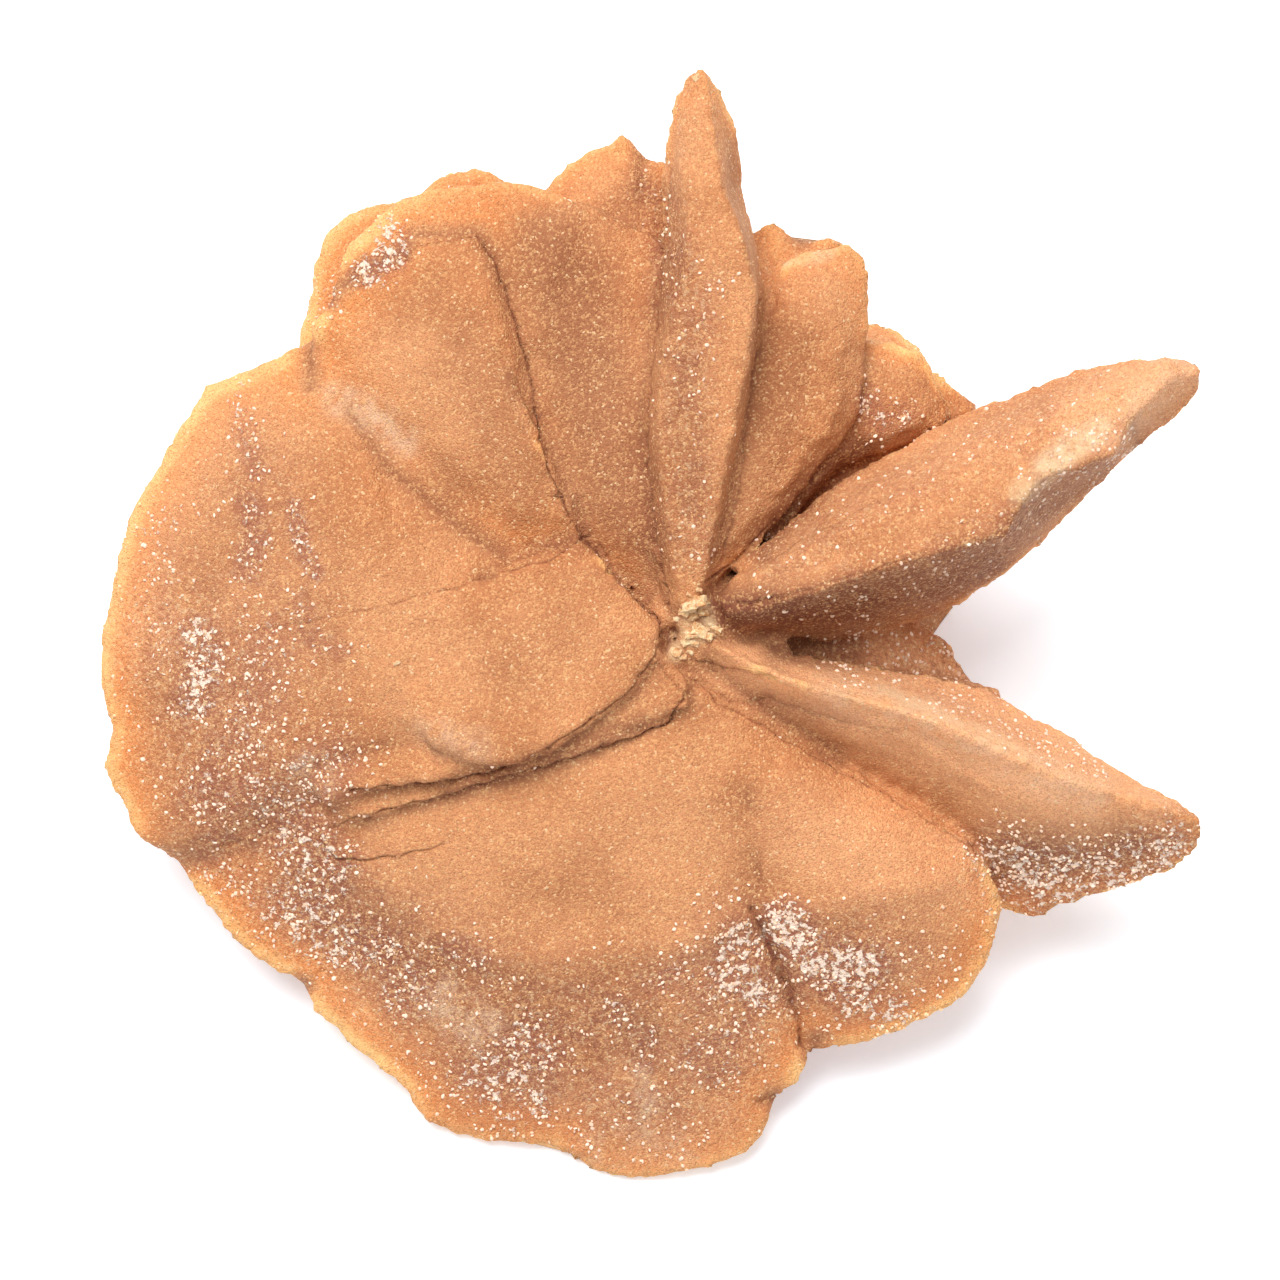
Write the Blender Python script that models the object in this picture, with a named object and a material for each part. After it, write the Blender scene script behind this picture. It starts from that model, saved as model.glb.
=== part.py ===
"""A gypsum sand rose: lens-shaped blades of sand-filled gypsum, grown through each other into one rosette.

The rosette is drawn face on, in millimetres: x runs right, y runs up the face, and z comes out of it, with the
point where the blades meet at the origin. The whole face then leans back from level and stands on the floor.
"""

import math
import random
from dataclasses import dataclass

import bmesh
import bpy
from mathutils import Matrix, Vector

MM = 0.001
NAME = "sand_rose"

# The rosette's face is tipped towards the front by this much, and its meeting point is this high.
FACE_LEAN = math.radians(20)
MEETING_HEIGHT = 22.0

# How finely a blade's rim is drawn, and how far its points stray from the smooth line.
RIM_STEP = 2.8
NIBBLE = 0.24
LENS_POINTS = 16

# A blade's shoulder is drawn in by this much to give its crown.
CROWN_KEEP = 0.45

# The floor block that trims the feet flat is this wide and deep.
FLOOR_SIDE = 200.0
FLOOR_DEPTH = 60.0

GYPSUM_COLOUR = (0.60, 0.31, 0.14, 1.0)
GYPSUM_ROUGHNESS = 0.85


@dataclass(frozen=True)
class Blade:
    """One lens of gypsum. Its outline lies in its own plane, and x runs out from the root along the bearing."""

    name: str
    root: tuple
    bearing: float
    pitch: float
    roll: float
    outline: tuple
    thickness: float
    heart: tuple
    shoulder: float = 0.45
    rim: float = 1.0
    shoulder_rise: float = 0.8


@dataclass(frozen=True)
class Spindle:
    """One blade that stands on edge. Each row crosses it: its edges and ridges as (x, y, z), front to back."""

    name: str
    rows: tuple


def lens(offset, length, width, lobes=5, waviness=0.06, turn=0.0):
    """A wavy ellipse centred at offset along the bearing, for the blades that the face hides."""
    points = []
    for k in range(LENS_POINTS):
        angle = 2 * math.pi * k / LENS_POINTS
        swell = 1 + waviness * math.sin(lobes * angle + turn)
        points.append((offset + length * swell * math.cos(angle), width * swell * math.sin(angle)))
    return tuple(points)


# The plates that make the face, from the large ones on the left round to the small ones at the top right.
FACE_PLATES = (
    Blade(
        "west_plate", (0, 0, -2.6), 0, 6.5, 3.0,
        (
            (-2, -1.6), (-6.4, -6.9), (-10, -9), (-16, -10.6), (-25, -12.8), (-32, -15.2), (-38.2, -16.6),
            (-40.8, -13.2), (-42.2, -10.2), (-41.8, -7.4), (-42.6, -4.2), (-42.3, -0.8), (-41.4, 3.2),
            (-40.1, 8), (-38.4, 11), (-36.4, 14.2), (-34.5, 16.9), (-31.4, 18.5), (-28.1, 19.8),
            (-25.6, 19.4), (-22.1, 14.6), (-15.9, 9.4), (-12.1, 6.5), (-8.6, 5.8), (-3.6, 1.5),
        ),
        8.4, (-18, -3), 0.5, 1.1, 0.86,
    ),
    Blade(
        "south_plate", (0, 0, -4.6), 0, 4.6, 5.4,
        (
            (5, 1), (-4, 3), (-16, 1), (-28, -4), (-36, -10.5), (-38.6, -14.4), (-38.2, -16.4), (-36.4, -18.6),
            (-34.9, -20.2), (-32.8, -23.2), (-30.2, -24.9), (-27.9, -25.8), (-27.1, -27.6), (-24.6, -30.3),
            (-22.8, -31.6), (-20.4, -33.6), (-19.2, -35.8), (-15, -37.3), (-10, -37.7), (-7.4, -39.4),
            (-4.2, -40.1), (-1.4, -39.8), (0.9, -38.9), (3.8, -37.8), (5.3, -36), (5.5, -34), (7.6, -32.7),
            (8.9, -30.4), (11, -23), (11, -12), (8, -4),
        ),
        8.2, (-5, -10), 0.48, 1.1, 0.88,
    ),
    Blade(
        "east_lobe", (0, 0, -3.9), 0, 5, 7.5,
        (
            (0, -3), (2.1, -4.2), (7.9, -8.3), (12.1, -10.8), (16.4, -13.3), (20, -15.4), (21.4, -17.4),
            (22.3, -19.7), (21.6, -23.4), (19.4, -26.7), (16.4, -28.5), (12.9, -29.7), (8.9, -30.9),
            (5.5, -27.5), (2.5, -21.8), (0, -13.9), (-1.4, -6.8),
        ),
        6.4, (8, -15), 0.42, 1.1, 0.84,
    ),
    Blade(
        "west_sheet", (0, 0, -0.9), 0, 8.0, -6.0,
        (
            (-1.9, -1.5), (-4, -4.2), (-6.4, -6.3), (-10.1, -8.9), (-13, -9.6), (-15.9, -10.3), (-20, -11.4),
            (-23.6, -12), (-26.4, -13.2), (-27, -8), (-23, 0), (-16, 5), (-8.6, 5.4), (-3.8, 1.4),
        ),
        2.2, (-13, -3), 0.12, 1.6, 0.85,
    ),
    Blade(
        "petal_plate", (0, 0, -0.9), 0, 3.4, -5.0,
        (
            (-2, -1.8), (-3.6, -4.6), (-6.4, -6.9), (-10, -8.9), (-15, -10), (-18, -8.7), (-20.5, -5.6),
            (-20.9, -2.5), (-19.3, 0.6), (-13.6, 3.9), (-7.7, 5.9), (-5.7, 3.9), (-3.6, 1.1), (-2.1, -0.6),
        ),
        2.6, (-11, -2), 0.14, 1.3, 0.85,
    ),
    Blade(
        "under_petal", (0, 0, -0.9), 0, 6.0, 3.4,
        (
            (-1.8, -2), (-0.2, -4.4), (-0.1, -5.5), (-2.9, -7.1), (-6.4, -8.6), (-9.3, -9.8), (-17.1, -12),
            (-24.8, -13.9), (-24.8, -10), (-14, -6), (-4, -2.5),
        ),
        2.0, (-9, -7.4), 0.16, 1.2, 0.8,
    ),
    Blade(
        "northwest_plate", (0, 0, -1.8), 0, 6.4, 2.0,
        (
            (-15.1, 27.9), (-19.3, 27.6), (-20.7, 26.2), (-24.9, 23.9), (-26.8, 21.2), (-27, 17),
            (-24, 11), (-18, 6.5), (-13, 4.2), (-7.6, 5.6), (-9.4, 10.5), (-10.6, 13.3),
            (-11.2, 17.2), (-12.2, 21.3), (-13.7, 25.4),
        ),
        5.0, (-13, 19), 0.55, 1.4, 0.8,
    ),
    Blade(
        "north_plate", (0, 0, -3.4), 0, 1.5, 0,
        (
            (-2, -0.5), (-8, 4), (-16, 12), (-24.6, 20), (-25.2, 24.6), (-24.4, 26.9), (-22.8, 28.4),
            (-20.7, 30), (-17.7, 31.2), (-13.9, 31.8), (-10.9, 31.2), (-8.6, 30.2), (-6.3, 29.6),
            (-3.6, 28.2), (0, 25), (3, 16), (2, 6), (0.6, 1),
        ),
        5.0, (-6, 17), 0.4, 1.2, 0.84,
    ),
    Blade(
        "northwest_back", (-0.4, 0.8, -8.4), 0, 3, -3,
        (
            (-16, 12), (-28.4, 18.6), (-27.4, 21.1), (-26.9, 23.4), (-26.6, 25.4), (-25.9, 27.4),
            (-24.5, 28.7), (-22.9, 29.5), (-21.2, 29.8), (-19.2, 30.6), (-17.9, 31.4), (-16.9, 32.1),
            (-15.3, 32.5), (-13.8, 31.9), (-10, 28), (-6, 18),
        ),
        5.6, (-18, 22), 0.45, 1.2, 0.84,
    ),
    Blade(
        "north_spur", (0, 0, -8.2), 0, 0, 3,
        (
            (-11.6, 29.8), (-10.3, 31.1), (-9.3, 32.4), (-8.4, 33.5), (-6.8, 34.2), (-5.6, 34.4), (-4.8, 35.2),
            (-3.7, 34.8), (-3.3, 33.6), (-1.7, 33.4), (2, 29), (2, 20), (-5, 18), (-11, 24),
        ),
        5.0, (-4, 27), 0.4, 1.2, 0.8,
    ),
    Blade(
        "northeast_plate", (0, 0, -2.2), 0, -5, -1,
        (
            (0, 1), (1.6, 2.8), (6.1, 7.4), (7.7, 9.5), (9.5, 11.6), (11, 13.3), (11.9, 15.1), (12.3, 17.6),
            (12.5, 19.4), (12.9, 21.1), (12.7, 24.1), (12.2, 26), (11.1, 27), (8.6, 26.4), (6.8, 25.6),
            (6.1, 24.2), (4.6, 22), (1, 17), (-2, 10), (-1.6, 3),
        ),
        5.0, (5, 14), 0.28, 1.2, 0.84,
    ),
    Blade(
        "northeast_back", (0, 0, -5.4), 0, -4, -3,
        (
            (3.6, 28), (4.9, 28.3), (6.5, 28.9), (6.9, 28.1), (7.9, 27.6), (9.9, 27.7), (11.4, 27.0),
            (12, 24), (11, 15), (6, 9), (1, 12), (1, 22),
        ),
        4.4, (6, 19), 0.3, 1.2, 0.8,
    ),
    Blade(
        "nook_plate", (0, 0, -5.6), 0, -6, 3,
        (
            (2, 1), (8, 8.6), (11.7, 12), (14.8, 12.6), (18, 14.2), (18.5, 15.6), (18, 16.9), (17.2, 18.4),
            (16.8, 19.3), (15.7, 20), (14.1, 20.3), (12, 20.2), (8, 17), (3, 10),
        ),
        4.4, (12, 15), 0.35, 1.2, 0.8,
    ),
    Blade(
        "nook_back", (0, 0, -8.6), 0, -5, 2,
        (
            (3, 4), (12, 7.5), (19, 11.5), (20.6, 15.8), (19.2, 17.2), (18, 18.1), (17, 18.6), (12, 18), (6, 12),
        ),
        4.4, (13, 13), 0.35, 1.2, 0.8,
    ),
    Blade(
        "gap_plate", (0, 0, -9.0), 0, -5, -5,
        (
            (1, 3), (10, 3.4), (16.6, 0.6), (17.7, -0.5), (18.9, -1.3), (19.3, -2.4), (19.7, -3.3), (20.6, -4.3),
            (22.2, -4.7), (22.8, -6), (18, -11), (8, -9), (1, -4),
        ),
        4.6, (11, -3), 0.4, 1.2, 0.8,
    ),
)

# The three blades that stand on edge. Each row runs from the back edge over the front ridges to the other edge.
STANDING_BLADES = (
    Spindle(
        "upright_blade",
        (
            ((-1.6, 0.9, -1.6), (-0.6, 0.9, 0.2), (0.2, 0.9, 0.4), (0.8, 0.9, -1.2), (0, 1.6, -5)),
            ((-2.6, 4.6, -1.6), (-1.2, 4.4, 0.8), (1.3, 4.6, 1.2), (2.2, 4.6, -2), (0, 5, -7)),
            ((-3.2, 8.9, -1.8), (-1.8, 8.8, 1.4), (2.1, 8.9, 2.2), (3.2, 8.9, -2.4), (0, 9, -9)),
            ((-3.9, 14.6, -2.2), (-2.4, 14.5, 2), (3.2, 14.6, 3.4), (4.4, 14.6, -3), (0.5, 14.6, -11)),
            ((-3.1, 20.1, -2), (-1.8, 20, 2.6), (4.3, 20.1, 4.4), (5.4, 20.1, -3.4), (1, 20, -12)),
            ((-2.4, 23.6, -1.6), (-0.8, 23.6, 3), (4.6, 23.6, 4.8), (5.4, 23.6, -3), (1.5, 23.6, -11)),
            ((-1.9, 26.8, -1.2), (-0.2, 26.8, 3.4), (3.8, 26.8, 4.8), (4.8, 26.8, -2.4), (1.5, 26.8, -9)),
            ((-2.1, 30.9, -0.6), (-0.6, 30.9, 3.2), (2.1, 30.9, 4.4), (3.7, 30.9, -1.2), (1, 30.9, -6)),
            ((-1.6, 35.1, 0.2), (-0.4, 35.1, 2.6), (1.4, 35.2, 3.6), (3.5, 35, -0.2), (1, 35.1, -3)),
            ((-1.0, 37.5, 0.6), (0, 37.6, 2.2), (1.3, 37.6, 2.8), (2.4, 37.2, 0.4), (0.8, 37.5, -1)),
            ((0.1, 39.0, 1), (0.5, 39.2, 1.8), (0.9, 39.2, 1.9), (1.4, 39.0, 0.8), (0.8, 39, 0.2)),
        ),
    ),
    Spindle(
        "wedge_blade",
        (
            ((2.2, 2.4, -1.2), (1.9, 1.6, 0.2), (2.3, 0.9, 0.4), (3.2, -0.5, -2), (3, 1, -5)),
            ((3.9, 4.6, -2), (4.2, 2.8, 1), (5, 0.9, 1.6), (6.1, -0.6, -4), (5.4, 2, -8)),
            ((6.4, 6.8, -2.6), (6.9, 4.6, 1.4), (7.9, 2, 2.6), (8.9, -1.1, -6), (8, 3, -10)),
            ((9.3, 9.3, -3), (10, 6.6, 1.8), (11.4, 3.2, 3.6), (12.1, -1.1, -7.4), (10.6, 5, -12)),
            ((11.4, 10.7, -3.2), (12.9, 8, 2.2), (15, 4.3, 4.4), (15.4, -0.2, -8), (13, 6, -13)),
            ((15, 12.7, -3.4), (16.8, 9.8, 2.4), (19.4, 5.6, 4.8), (19.4, 1.4, -8), (17, 8, -13)),
            ((18.6, 14.8, -3.4), (20, 11.6, 2.2), (22, 6.4, 4.6), (22.5, 3.5, -7.4), (20, 10, -12)),
            ((23.2, 16.5, -3), (23.8, 13.8, 2), (24.4, 10.1, 4.2), (25.8, 6.4, -6), (24, 12, -10)),
            ((26.6, 17.9, -2.6), (27.6, 15.4, 1.8), (29.6, 11.9, 3.4), (29.3, 10.1, -4.6), (27.6, 14, -8)),
            ((30.3, 18.7, -2.2), (30.6, 17, 1.4), (31, 14.5, 2.6), (31.8, 12.7, -3.4), (30.6, 16, -6)),
            ((33.8, 19.1, -1.6), (33.9, 18.6, 0.8), (33.9, 17.4, 1.6), (34.8, 14.9, -2), (34, 17, -4)),
            ((35.8, 18.4, -1), (35.9, 18.3, 0.2), (36, 17.8, 0.6), (36.1, 16.6, -1), (35.8, 17.5, -1.8)),
        ),
    ),
    Spindle(
        "fin_blade",
        (
            ((1.4, -0.4, -2), (1.6, -1.4, 0), (1.0, -3.1, -2.4), (0.5, -4, -4.4), (0, -2, -6)),
            ((5, -1.4, -3), (5, -3.0, 0.6), (4.6, -6.4, -4), (3.9, -7.4, -6), (4, -3.5, -8)),
            ((7.9, -2.1, -4), (7.9, -4.1, 1.2), (8.2, -8.4, -4.8), (7.9, -10, -7), (7.6, -5, -10)),
            ((11.7, -2.8, -4.4), (11.7, -5.2, 1.6), (12.6, -10.8, -5.2), (12.4, -12.9, -8), (12, -7, -12)),
            ((17.2, -3.6, -4.4), (17.2, -6.8, 2), (17.6, -13.6, -4.8), (17.1, -16.3, -9), (17, -9, -12)),
            ((21.1, -4.6, -4.2), (21.2, -8.6, 2.2), (21.5, -14.9, -3.2), (21.1, -20, -8.4), (21, -11, -12)),
            ((23.6, -6.2, -4), (24.1, -9.9, 2), (25.1, -14.7, -2), (24.7, -21.2, -7.6), (24, -13, -11)),
            ((27, -7.8, -3.6), (27.2, -11.1, 1.6), (28.6, -14.6, -1.6), (28.2, -19.7, -6.4), (27.5, -13.5, -9)),
            ((30.2, -10.1, -3.2), (30.6, -12.2, 1), (31.4, -14.7, -1.4), (31.1, -18.9, -5.2), (30.6, -14, -7)),
            ((33.6, -11.9, -2.6), (33.7, -13.1, 0.2), (34.3, -14.8, -1.4), (33.9, -17.8, -4.2), (33.8, -14.6, -5)),
            ((36.1, -13.4, -2), (36.2, -13.9, -1), (36.4, -14.7, -1.4), (36, -16, -2.6), (36, -14.6, -3)),
        ),
    ),
)

# The blades below the face. They grow out and down from the rose's middle, and their feet carry it.
FOOT_BLADES = (
    Blade("hub_lens", (0.4, 0, -4.2), 0, 0, 0, lens(0, 5, 4.4, 3, 0.08), 7.0, (0, 0)),
    Blade("heart_lens", (-5, -1, -12), 0, 2, 0, lens(0, 21, 17, 5, 0.05), 12.0, (0, 0)),
    Blade("front_foot", (-6, -5, -8), -98, -8, 14, lens(11, 16, 15, 5, 0.06, 1.0), 5.4, (11, 0)),
    Blade("front_west_foot", (-9, -4, -9), -146, -14, -30, lens(12, 16, 12, 4, 0.06, 0.4), 5.2, (12, 0)),
    Blade("west_foot", (-11, 2, -10), 176, -20, 36, lens(12, 17, 13, 5, 0.06, 2.0), 5.4, (12, 0)),
    Blade("northwest_foot", (-9, 8, -12), 132, -26, -34, lens(11, 16, 13, 4, 0.06, 1.4), 5.4, (11, 0)),
    Blade("north_foot", (-3, 10, -13), 92, -36, 24, lens(10, 17, 12, 5, 0.06, 0.2), 5.2, (10, 0)),
    Blade("northeast_foot", (3, 8, -12), 52, -42, -28, lens(8, 16, 11, 4, 0.06, 2.4), 5.0, (8, 0)),
    Blade("east_foot", (4, -2, -11), -8, -52, 32, lens(8, 16, 11, 5, 0.06, 1.8), 5.0, (8, 0)),
    Blade("southeast_foot", (3, -7, -9), -52, -26, -24, lens(10, 15, 12, 4, 0.06, 0.9), 5.2, (10, 0)),
    Blade("keel_lens", (-4, 3, -18), 70, 0, 86, lens(0, 21, 11, 5, 0.05, 0.3), 5.4, (0, 0)),
)


def rim_points(blade):
    """The outline as a smooth closed line, in steps of about RIM_STEP, with a little of the real rim's nibbling."""
    rng = random.Random(blade.name)
    corners = [Vector(p) for p in blade.outline]
    count = len(corners)
    points = []
    for k in range(count):
        before, start, end, after = (corners[(k + j) % count] for j in (-1, 0, 1, 2))
        pieces = max(1, round((end - start).length / RIM_STEP))
        for step in range(pieces):
            t = step / pieces
            point = 0.5 * (
                2 * start
                + (end - before) * t
                + (2 * before - 5 * start + 4 * end - after) * t * t
                + (3 * start - before - 3 * end + after) * t * t * t
            )
            stray = Vector((rng.uniform(-NIBBLE, NIBBLE), rng.uniform(-NIBBLE, NIBBLE)))
            points.append(point + stray)
    return points


def slab_lid(bm, face):
    """Extrudes a lone face into a closed slab, and returns the far face."""
    raised = bmesh.ops.extrude_face_region(bm, geom=[face])["geom"]
    return next(item for item in raised if isinstance(item, bmesh.types.BMFace))


def step_in(bm, face, heart, keep, rise):
    """Extrudes a cap, draws it in towards the heart and lifts it, and returns the new cap."""
    cap = bmesh.ops.extrude_discrete_faces(bm, faces=[face])["faces"][0]
    for vert in cap.verts:
        vert.co.x = heart[0] + (vert.co.x - heart[0]) * keep
        vert.co.y = heart[1] + (vert.co.y - heart[1]) * keep
        vert.co.z += rise
    return cap


def finished_mesh(bm, name):
    """The bmesh as a mesh of flat triangles that point out."""
    bmesh.ops.triangulate(bm, faces=bm.faces)
    bmesh.ops.recalc_face_normals(bm, faces=bm.faces)
    mesh = bpy.data.meshes.new(name)
    bm.to_mesh(mesh)
    bm.free()
    return mesh


def blade_mesh(blade):
    """A closed lens: a rim band, then on both sides a bevel up to a shoulder, a flatter plate and a crown."""
    bm = bmesh.new()
    outline = bm.faces.new([bm.verts.new((x, y, -blade.rim / 2)) for x, y in rim_points(blade)])
    lid = slab_lid(bm, outline)
    for vert in lid.verts:
        vert.co.z = blade.rim / 2
    full = blade.thickness / 2 - blade.rim / 2
    for cap, side in ((lid, 1), (outline, -1)):
        rise = full * blade.shoulder_rise * side
        shoulder = step_in(bm, cap, blade.heart, 1 - blade.shoulder, rise)
        crown = step_in(bm, shoulder, blade.heart, CROWN_KEEP, full * (1 - blade.shoulder_rise) * side)
        bmesh.ops.poke(bm, faces=[crown])
    return finished_mesh(bm, blade.name)


def place_corners(face, row):
    """Moves a face's corners onto a row's points, in order."""
    for vert, point in zip(face.verts, row):
        vert.co = point


def spindle_mesh(spindle):
    """A closed blade on edge: the first row's face, extruded from row to row out to the tip."""
    bm = bmesh.new()
    first, second, *others = spindle.rows
    face = slab_lid(bm, bm.faces.new([bm.verts.new(point) for point in first]))
    place_corners(face, second)
    for row in others:
        face = bmesh.ops.extrude_discrete_faces(bm, faces=[face])["faces"][0]
        place_corners(face, row)
    return finished_mesh(bm, spindle.name)


def helper_object(name, mesh, face, collection):
    """A helper object on the face's empty, which the build leaves out."""
    obj = bpy.data.objects.new(name, mesh)
    obj.parent = face
    obj.hide_render = True
    obj.display_type = "WIRE"
    collection.objects.link(obj)
    return obj


def blade_object(blade, face, collection):
    """The lens blade as a helper object, standing at its root."""
    obj = helper_object(blade.name, blade_mesh(blade), face, collection)
    obj.location = blade.root
    obj.rotation_euler = (math.radians(blade.roll), -math.radians(blade.pitch), math.radians(blade.bearing))
    return obj


def floor_block(collection):
    """The block that is cut away below the floor, so that the feet end flat."""
    bpy.ops.mesh.primitive_cube_add(size=1)
    block = bpy.context.object
    block.name = "floor_block"
    block.scale = (FLOOR_SIDE * MM, FLOOR_SIDE * MM, FLOOR_DEPTH * MM)
    block.location.z = -FLOOR_DEPTH * MM / 2
    block.hide_render = True
    block.display_type = "WIRE"
    for owner in block.users_collection:
        owner.objects.unlink(block)
    collection.objects.link(block)
    return block


def gypsum_material():
    """Sand-filled gypsum: dull and brown orange."""
    material = bpy.data.materials.new("sand_gypsum")
    material.use_nodes = True
    shader = material.node_tree.nodes["Principled BSDF"]
    shader.inputs["Base Color"].default_value = GYPSUM_COLOUR
    shader.inputs["Roughness"].default_value = GYPSUM_ROUGHNESS
    shader.inputs["Metallic"].default_value = 0.0
    return material


def new_collection(name):
    """A collection of that name in the scene."""
    collection = bpy.data.collections.new(name)
    bpy.context.scene.collection.children.link(collection)
    return collection


def new_face(collection):
    """The empty that carries the face's frame: in millimetres, leaning, at the height of the meeting point."""
    face = bpy.data.objects.new("face", None)
    face.location.z = MEETING_HEIGHT * MM
    face.rotation_euler.x = FACE_LEAN
    face.scale = (MM, MM, MM)
    collection.objects.link(face)
    return face


def all_blades(face, collection):
    """Every blade of the rosette as a helper object."""
    blades = [blade_object(blade, face, collection) for blade in FACE_PLATES + FOOT_BLADES]
    for spindle in STANDING_BLADES:
        blades.append(helper_object(spindle.name, spindle_mesh(spindle), face, collection))
    return blades


def grown_together(blades, floor, collection):
    """The blades joined into one solid and cut off flat at the floor, centred on its own footprint."""
    first, *others = blades
    rose = bpy.data.objects.new(NAME, first.data)
    rose.matrix_world = first.matrix_world
    collection.objects.link(rose)
    for other in others:
        union = rose.modifiers.new("with_" + other.name, "BOOLEAN")
        union.operation = "UNION"
        union.solver = "EXACT"
        union.object = other
    trim = rose.modifiers.new("flat_feet", "BOOLEAN")
    trim.operation = "DIFFERENCE"
    trim.solver = "EXACT"
    trim.object = floor
    bpy.context.view_layer.update()
    graph = bpy.context.evaluated_depsgraph_get()
    mesh = bpy.data.meshes.new_from_object(rose.evaluated_get(graph))
    mesh.transform(rose.matrix_world)
    bpy.data.objects.remove(rose)
    xs, ys, zs = zip(*(vert.co for vert in mesh.vertices))
    centre = Vector(((min(xs) + max(xs)) / 2, (min(ys) + max(ys)) / 2, min(zs)))
    mesh.transform(Matrix.Translation(-centre))
    solid = bpy.data.objects.new(NAME, mesh)
    collection.objects.link(solid)
    return solid


def main():
    """Builds the rose and returns its one object."""
    for obj in list(bpy.data.objects):
        bpy.data.objects.remove(obj, do_unlink=True)
    rose_parts = new_collection("gypsum_sand_rose")
    helpers = new_collection("blades_and_floor")
    face = new_face(helpers)
    blades = all_blades(face, helpers)
    floor = floor_block(helpers)
    bpy.context.view_layer.update()
    solid = grown_together(blades, floor, rose_parts)
    solid.data.materials.clear()
    solid.data.materials.append(gypsum_material())
    return solid


if __name__ == "__main__":
    main()
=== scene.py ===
"""Looks of a gypsum sand rose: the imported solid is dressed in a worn, sandy skin with cracks, grains and chips.

Lengths are in millimetres, and are turned into metres where Blender needs them. Marks on the rose's face are
placed by pixels of the 1280 pixel photograph, seen through the camera that renders the picture, and they lie on
whatever part of the skin that camera sees there.
"""

import logging
import math
import random
from dataclasses import dataclass
from enum import Enum

import bmesh
import bpy
import numpy as np
from mathutils import Matrix, Vector
from mathutils.bvhtree import BVHTree
from mathutils.kdtree import KDTree


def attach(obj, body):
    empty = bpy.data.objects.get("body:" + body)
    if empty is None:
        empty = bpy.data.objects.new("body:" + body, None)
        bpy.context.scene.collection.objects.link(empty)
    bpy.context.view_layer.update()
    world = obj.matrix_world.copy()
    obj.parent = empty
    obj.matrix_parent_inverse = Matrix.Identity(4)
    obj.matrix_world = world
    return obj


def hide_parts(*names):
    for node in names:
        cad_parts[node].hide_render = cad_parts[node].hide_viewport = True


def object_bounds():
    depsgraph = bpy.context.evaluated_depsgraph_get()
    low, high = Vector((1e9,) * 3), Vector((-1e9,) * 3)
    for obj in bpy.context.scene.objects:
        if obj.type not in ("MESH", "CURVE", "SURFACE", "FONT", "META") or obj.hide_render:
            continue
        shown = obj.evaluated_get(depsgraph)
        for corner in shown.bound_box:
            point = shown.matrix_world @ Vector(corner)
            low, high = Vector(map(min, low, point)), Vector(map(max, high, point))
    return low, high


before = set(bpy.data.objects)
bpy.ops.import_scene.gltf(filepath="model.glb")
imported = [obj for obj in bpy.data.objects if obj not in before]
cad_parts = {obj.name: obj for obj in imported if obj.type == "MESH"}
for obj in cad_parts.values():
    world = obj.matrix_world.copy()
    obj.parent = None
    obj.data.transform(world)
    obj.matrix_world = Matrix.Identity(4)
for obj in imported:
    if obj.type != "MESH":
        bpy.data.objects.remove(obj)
CAD_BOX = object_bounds()

MM = 0.001
NODE = "sand_rose"
BODY = "root"

Pixel = tuple[float, float]
Colour = tuple[float, float, float, float]

log = logging.getLogger("sand_rose")


def linear(red: int, green: int, blue: int) -> Colour:
    """Turns a screen colour into the linear one that a shader takes.

    Args:
        red: The red value, from 0 to 255.
        green: The green value.
        blue: The blue value.

    Returns:
        The linear colour with full alpha.
    """
    shares = (value / 255 for value in (red, green, blue))
    return (*(s / 12.92 if s < 0.04045 else ((s + 0.055) / 1.055) ** 2.4 for s in shares), 1.0)


def smooth_step(low: float, high: float, values: np.ndarray) -> np.ndarray:
    """Rises softly from 0 at low to 1 at high, and falls if low is the larger.

    Args:
        low: Where the result is 0.
        high: Where the result is 1.
        values: The values to look up.

    Returns:
        A share for each value.
    """
    share = np.clip((values - low) / (high - low), 0, 1)
    return share * share * (3 - 2 * share)


def select_only(obj: bpy.types.Object) -> None:
    """Deselects everything else and makes the object the active one.

    Args:
        obj: The object that the next operators act on.
    """
    bpy.ops.object.select_all(action="DESELECT")
    obj.select_set(True)
    bpy.context.view_layer.objects.active = obj


def add_modifier(obj: bpy.types.Object, kind: str, **settings: object) -> None:
    """Puts a modifier on an object and applies it.

    Args:
        obj: The object that is changed.
        kind: The modifier's type.
        settings: Its values by name.
    """
    modifier = obj.modifiers.new(kind.lower(), kind)
    for name, value in settings.items():
        setattr(modifier, name, value)
    select_only(obj)
    bpy.ops.object.modifier_apply(modifier=modifier.name)


def positions(obj: bpy.types.Object) -> np.ndarray:
    """The vertices of a mesh object in metres, one row each."""
    spots = np.empty(len(obj.data.vertices) * 3, np.float32)
    obj.data.vertices.foreach_get("co", spots)
    return spots.reshape(-1, 3).astype(float)


def normals(obj: bpy.types.Object) -> np.ndarray:
    """The vertex normals of a mesh object, one row each."""
    found = np.empty(len(obj.data.vertices) * 3, np.float32)
    obj.data.vertex_normals.foreach_get("vector", found)
    return found.reshape(-1, 3).astype(float)


def put_back(obj: bpy.types.Object, spots: np.ndarray) -> None:
    """Moves a mesh object's vertices.

    Args:
        obj: The mesh object.
        spots: The new places in metres, one row each.
    """
    obj.data.vertices.foreach_set("co", spots.astype(np.float32).ravel())
    obj.data.update()


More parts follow.
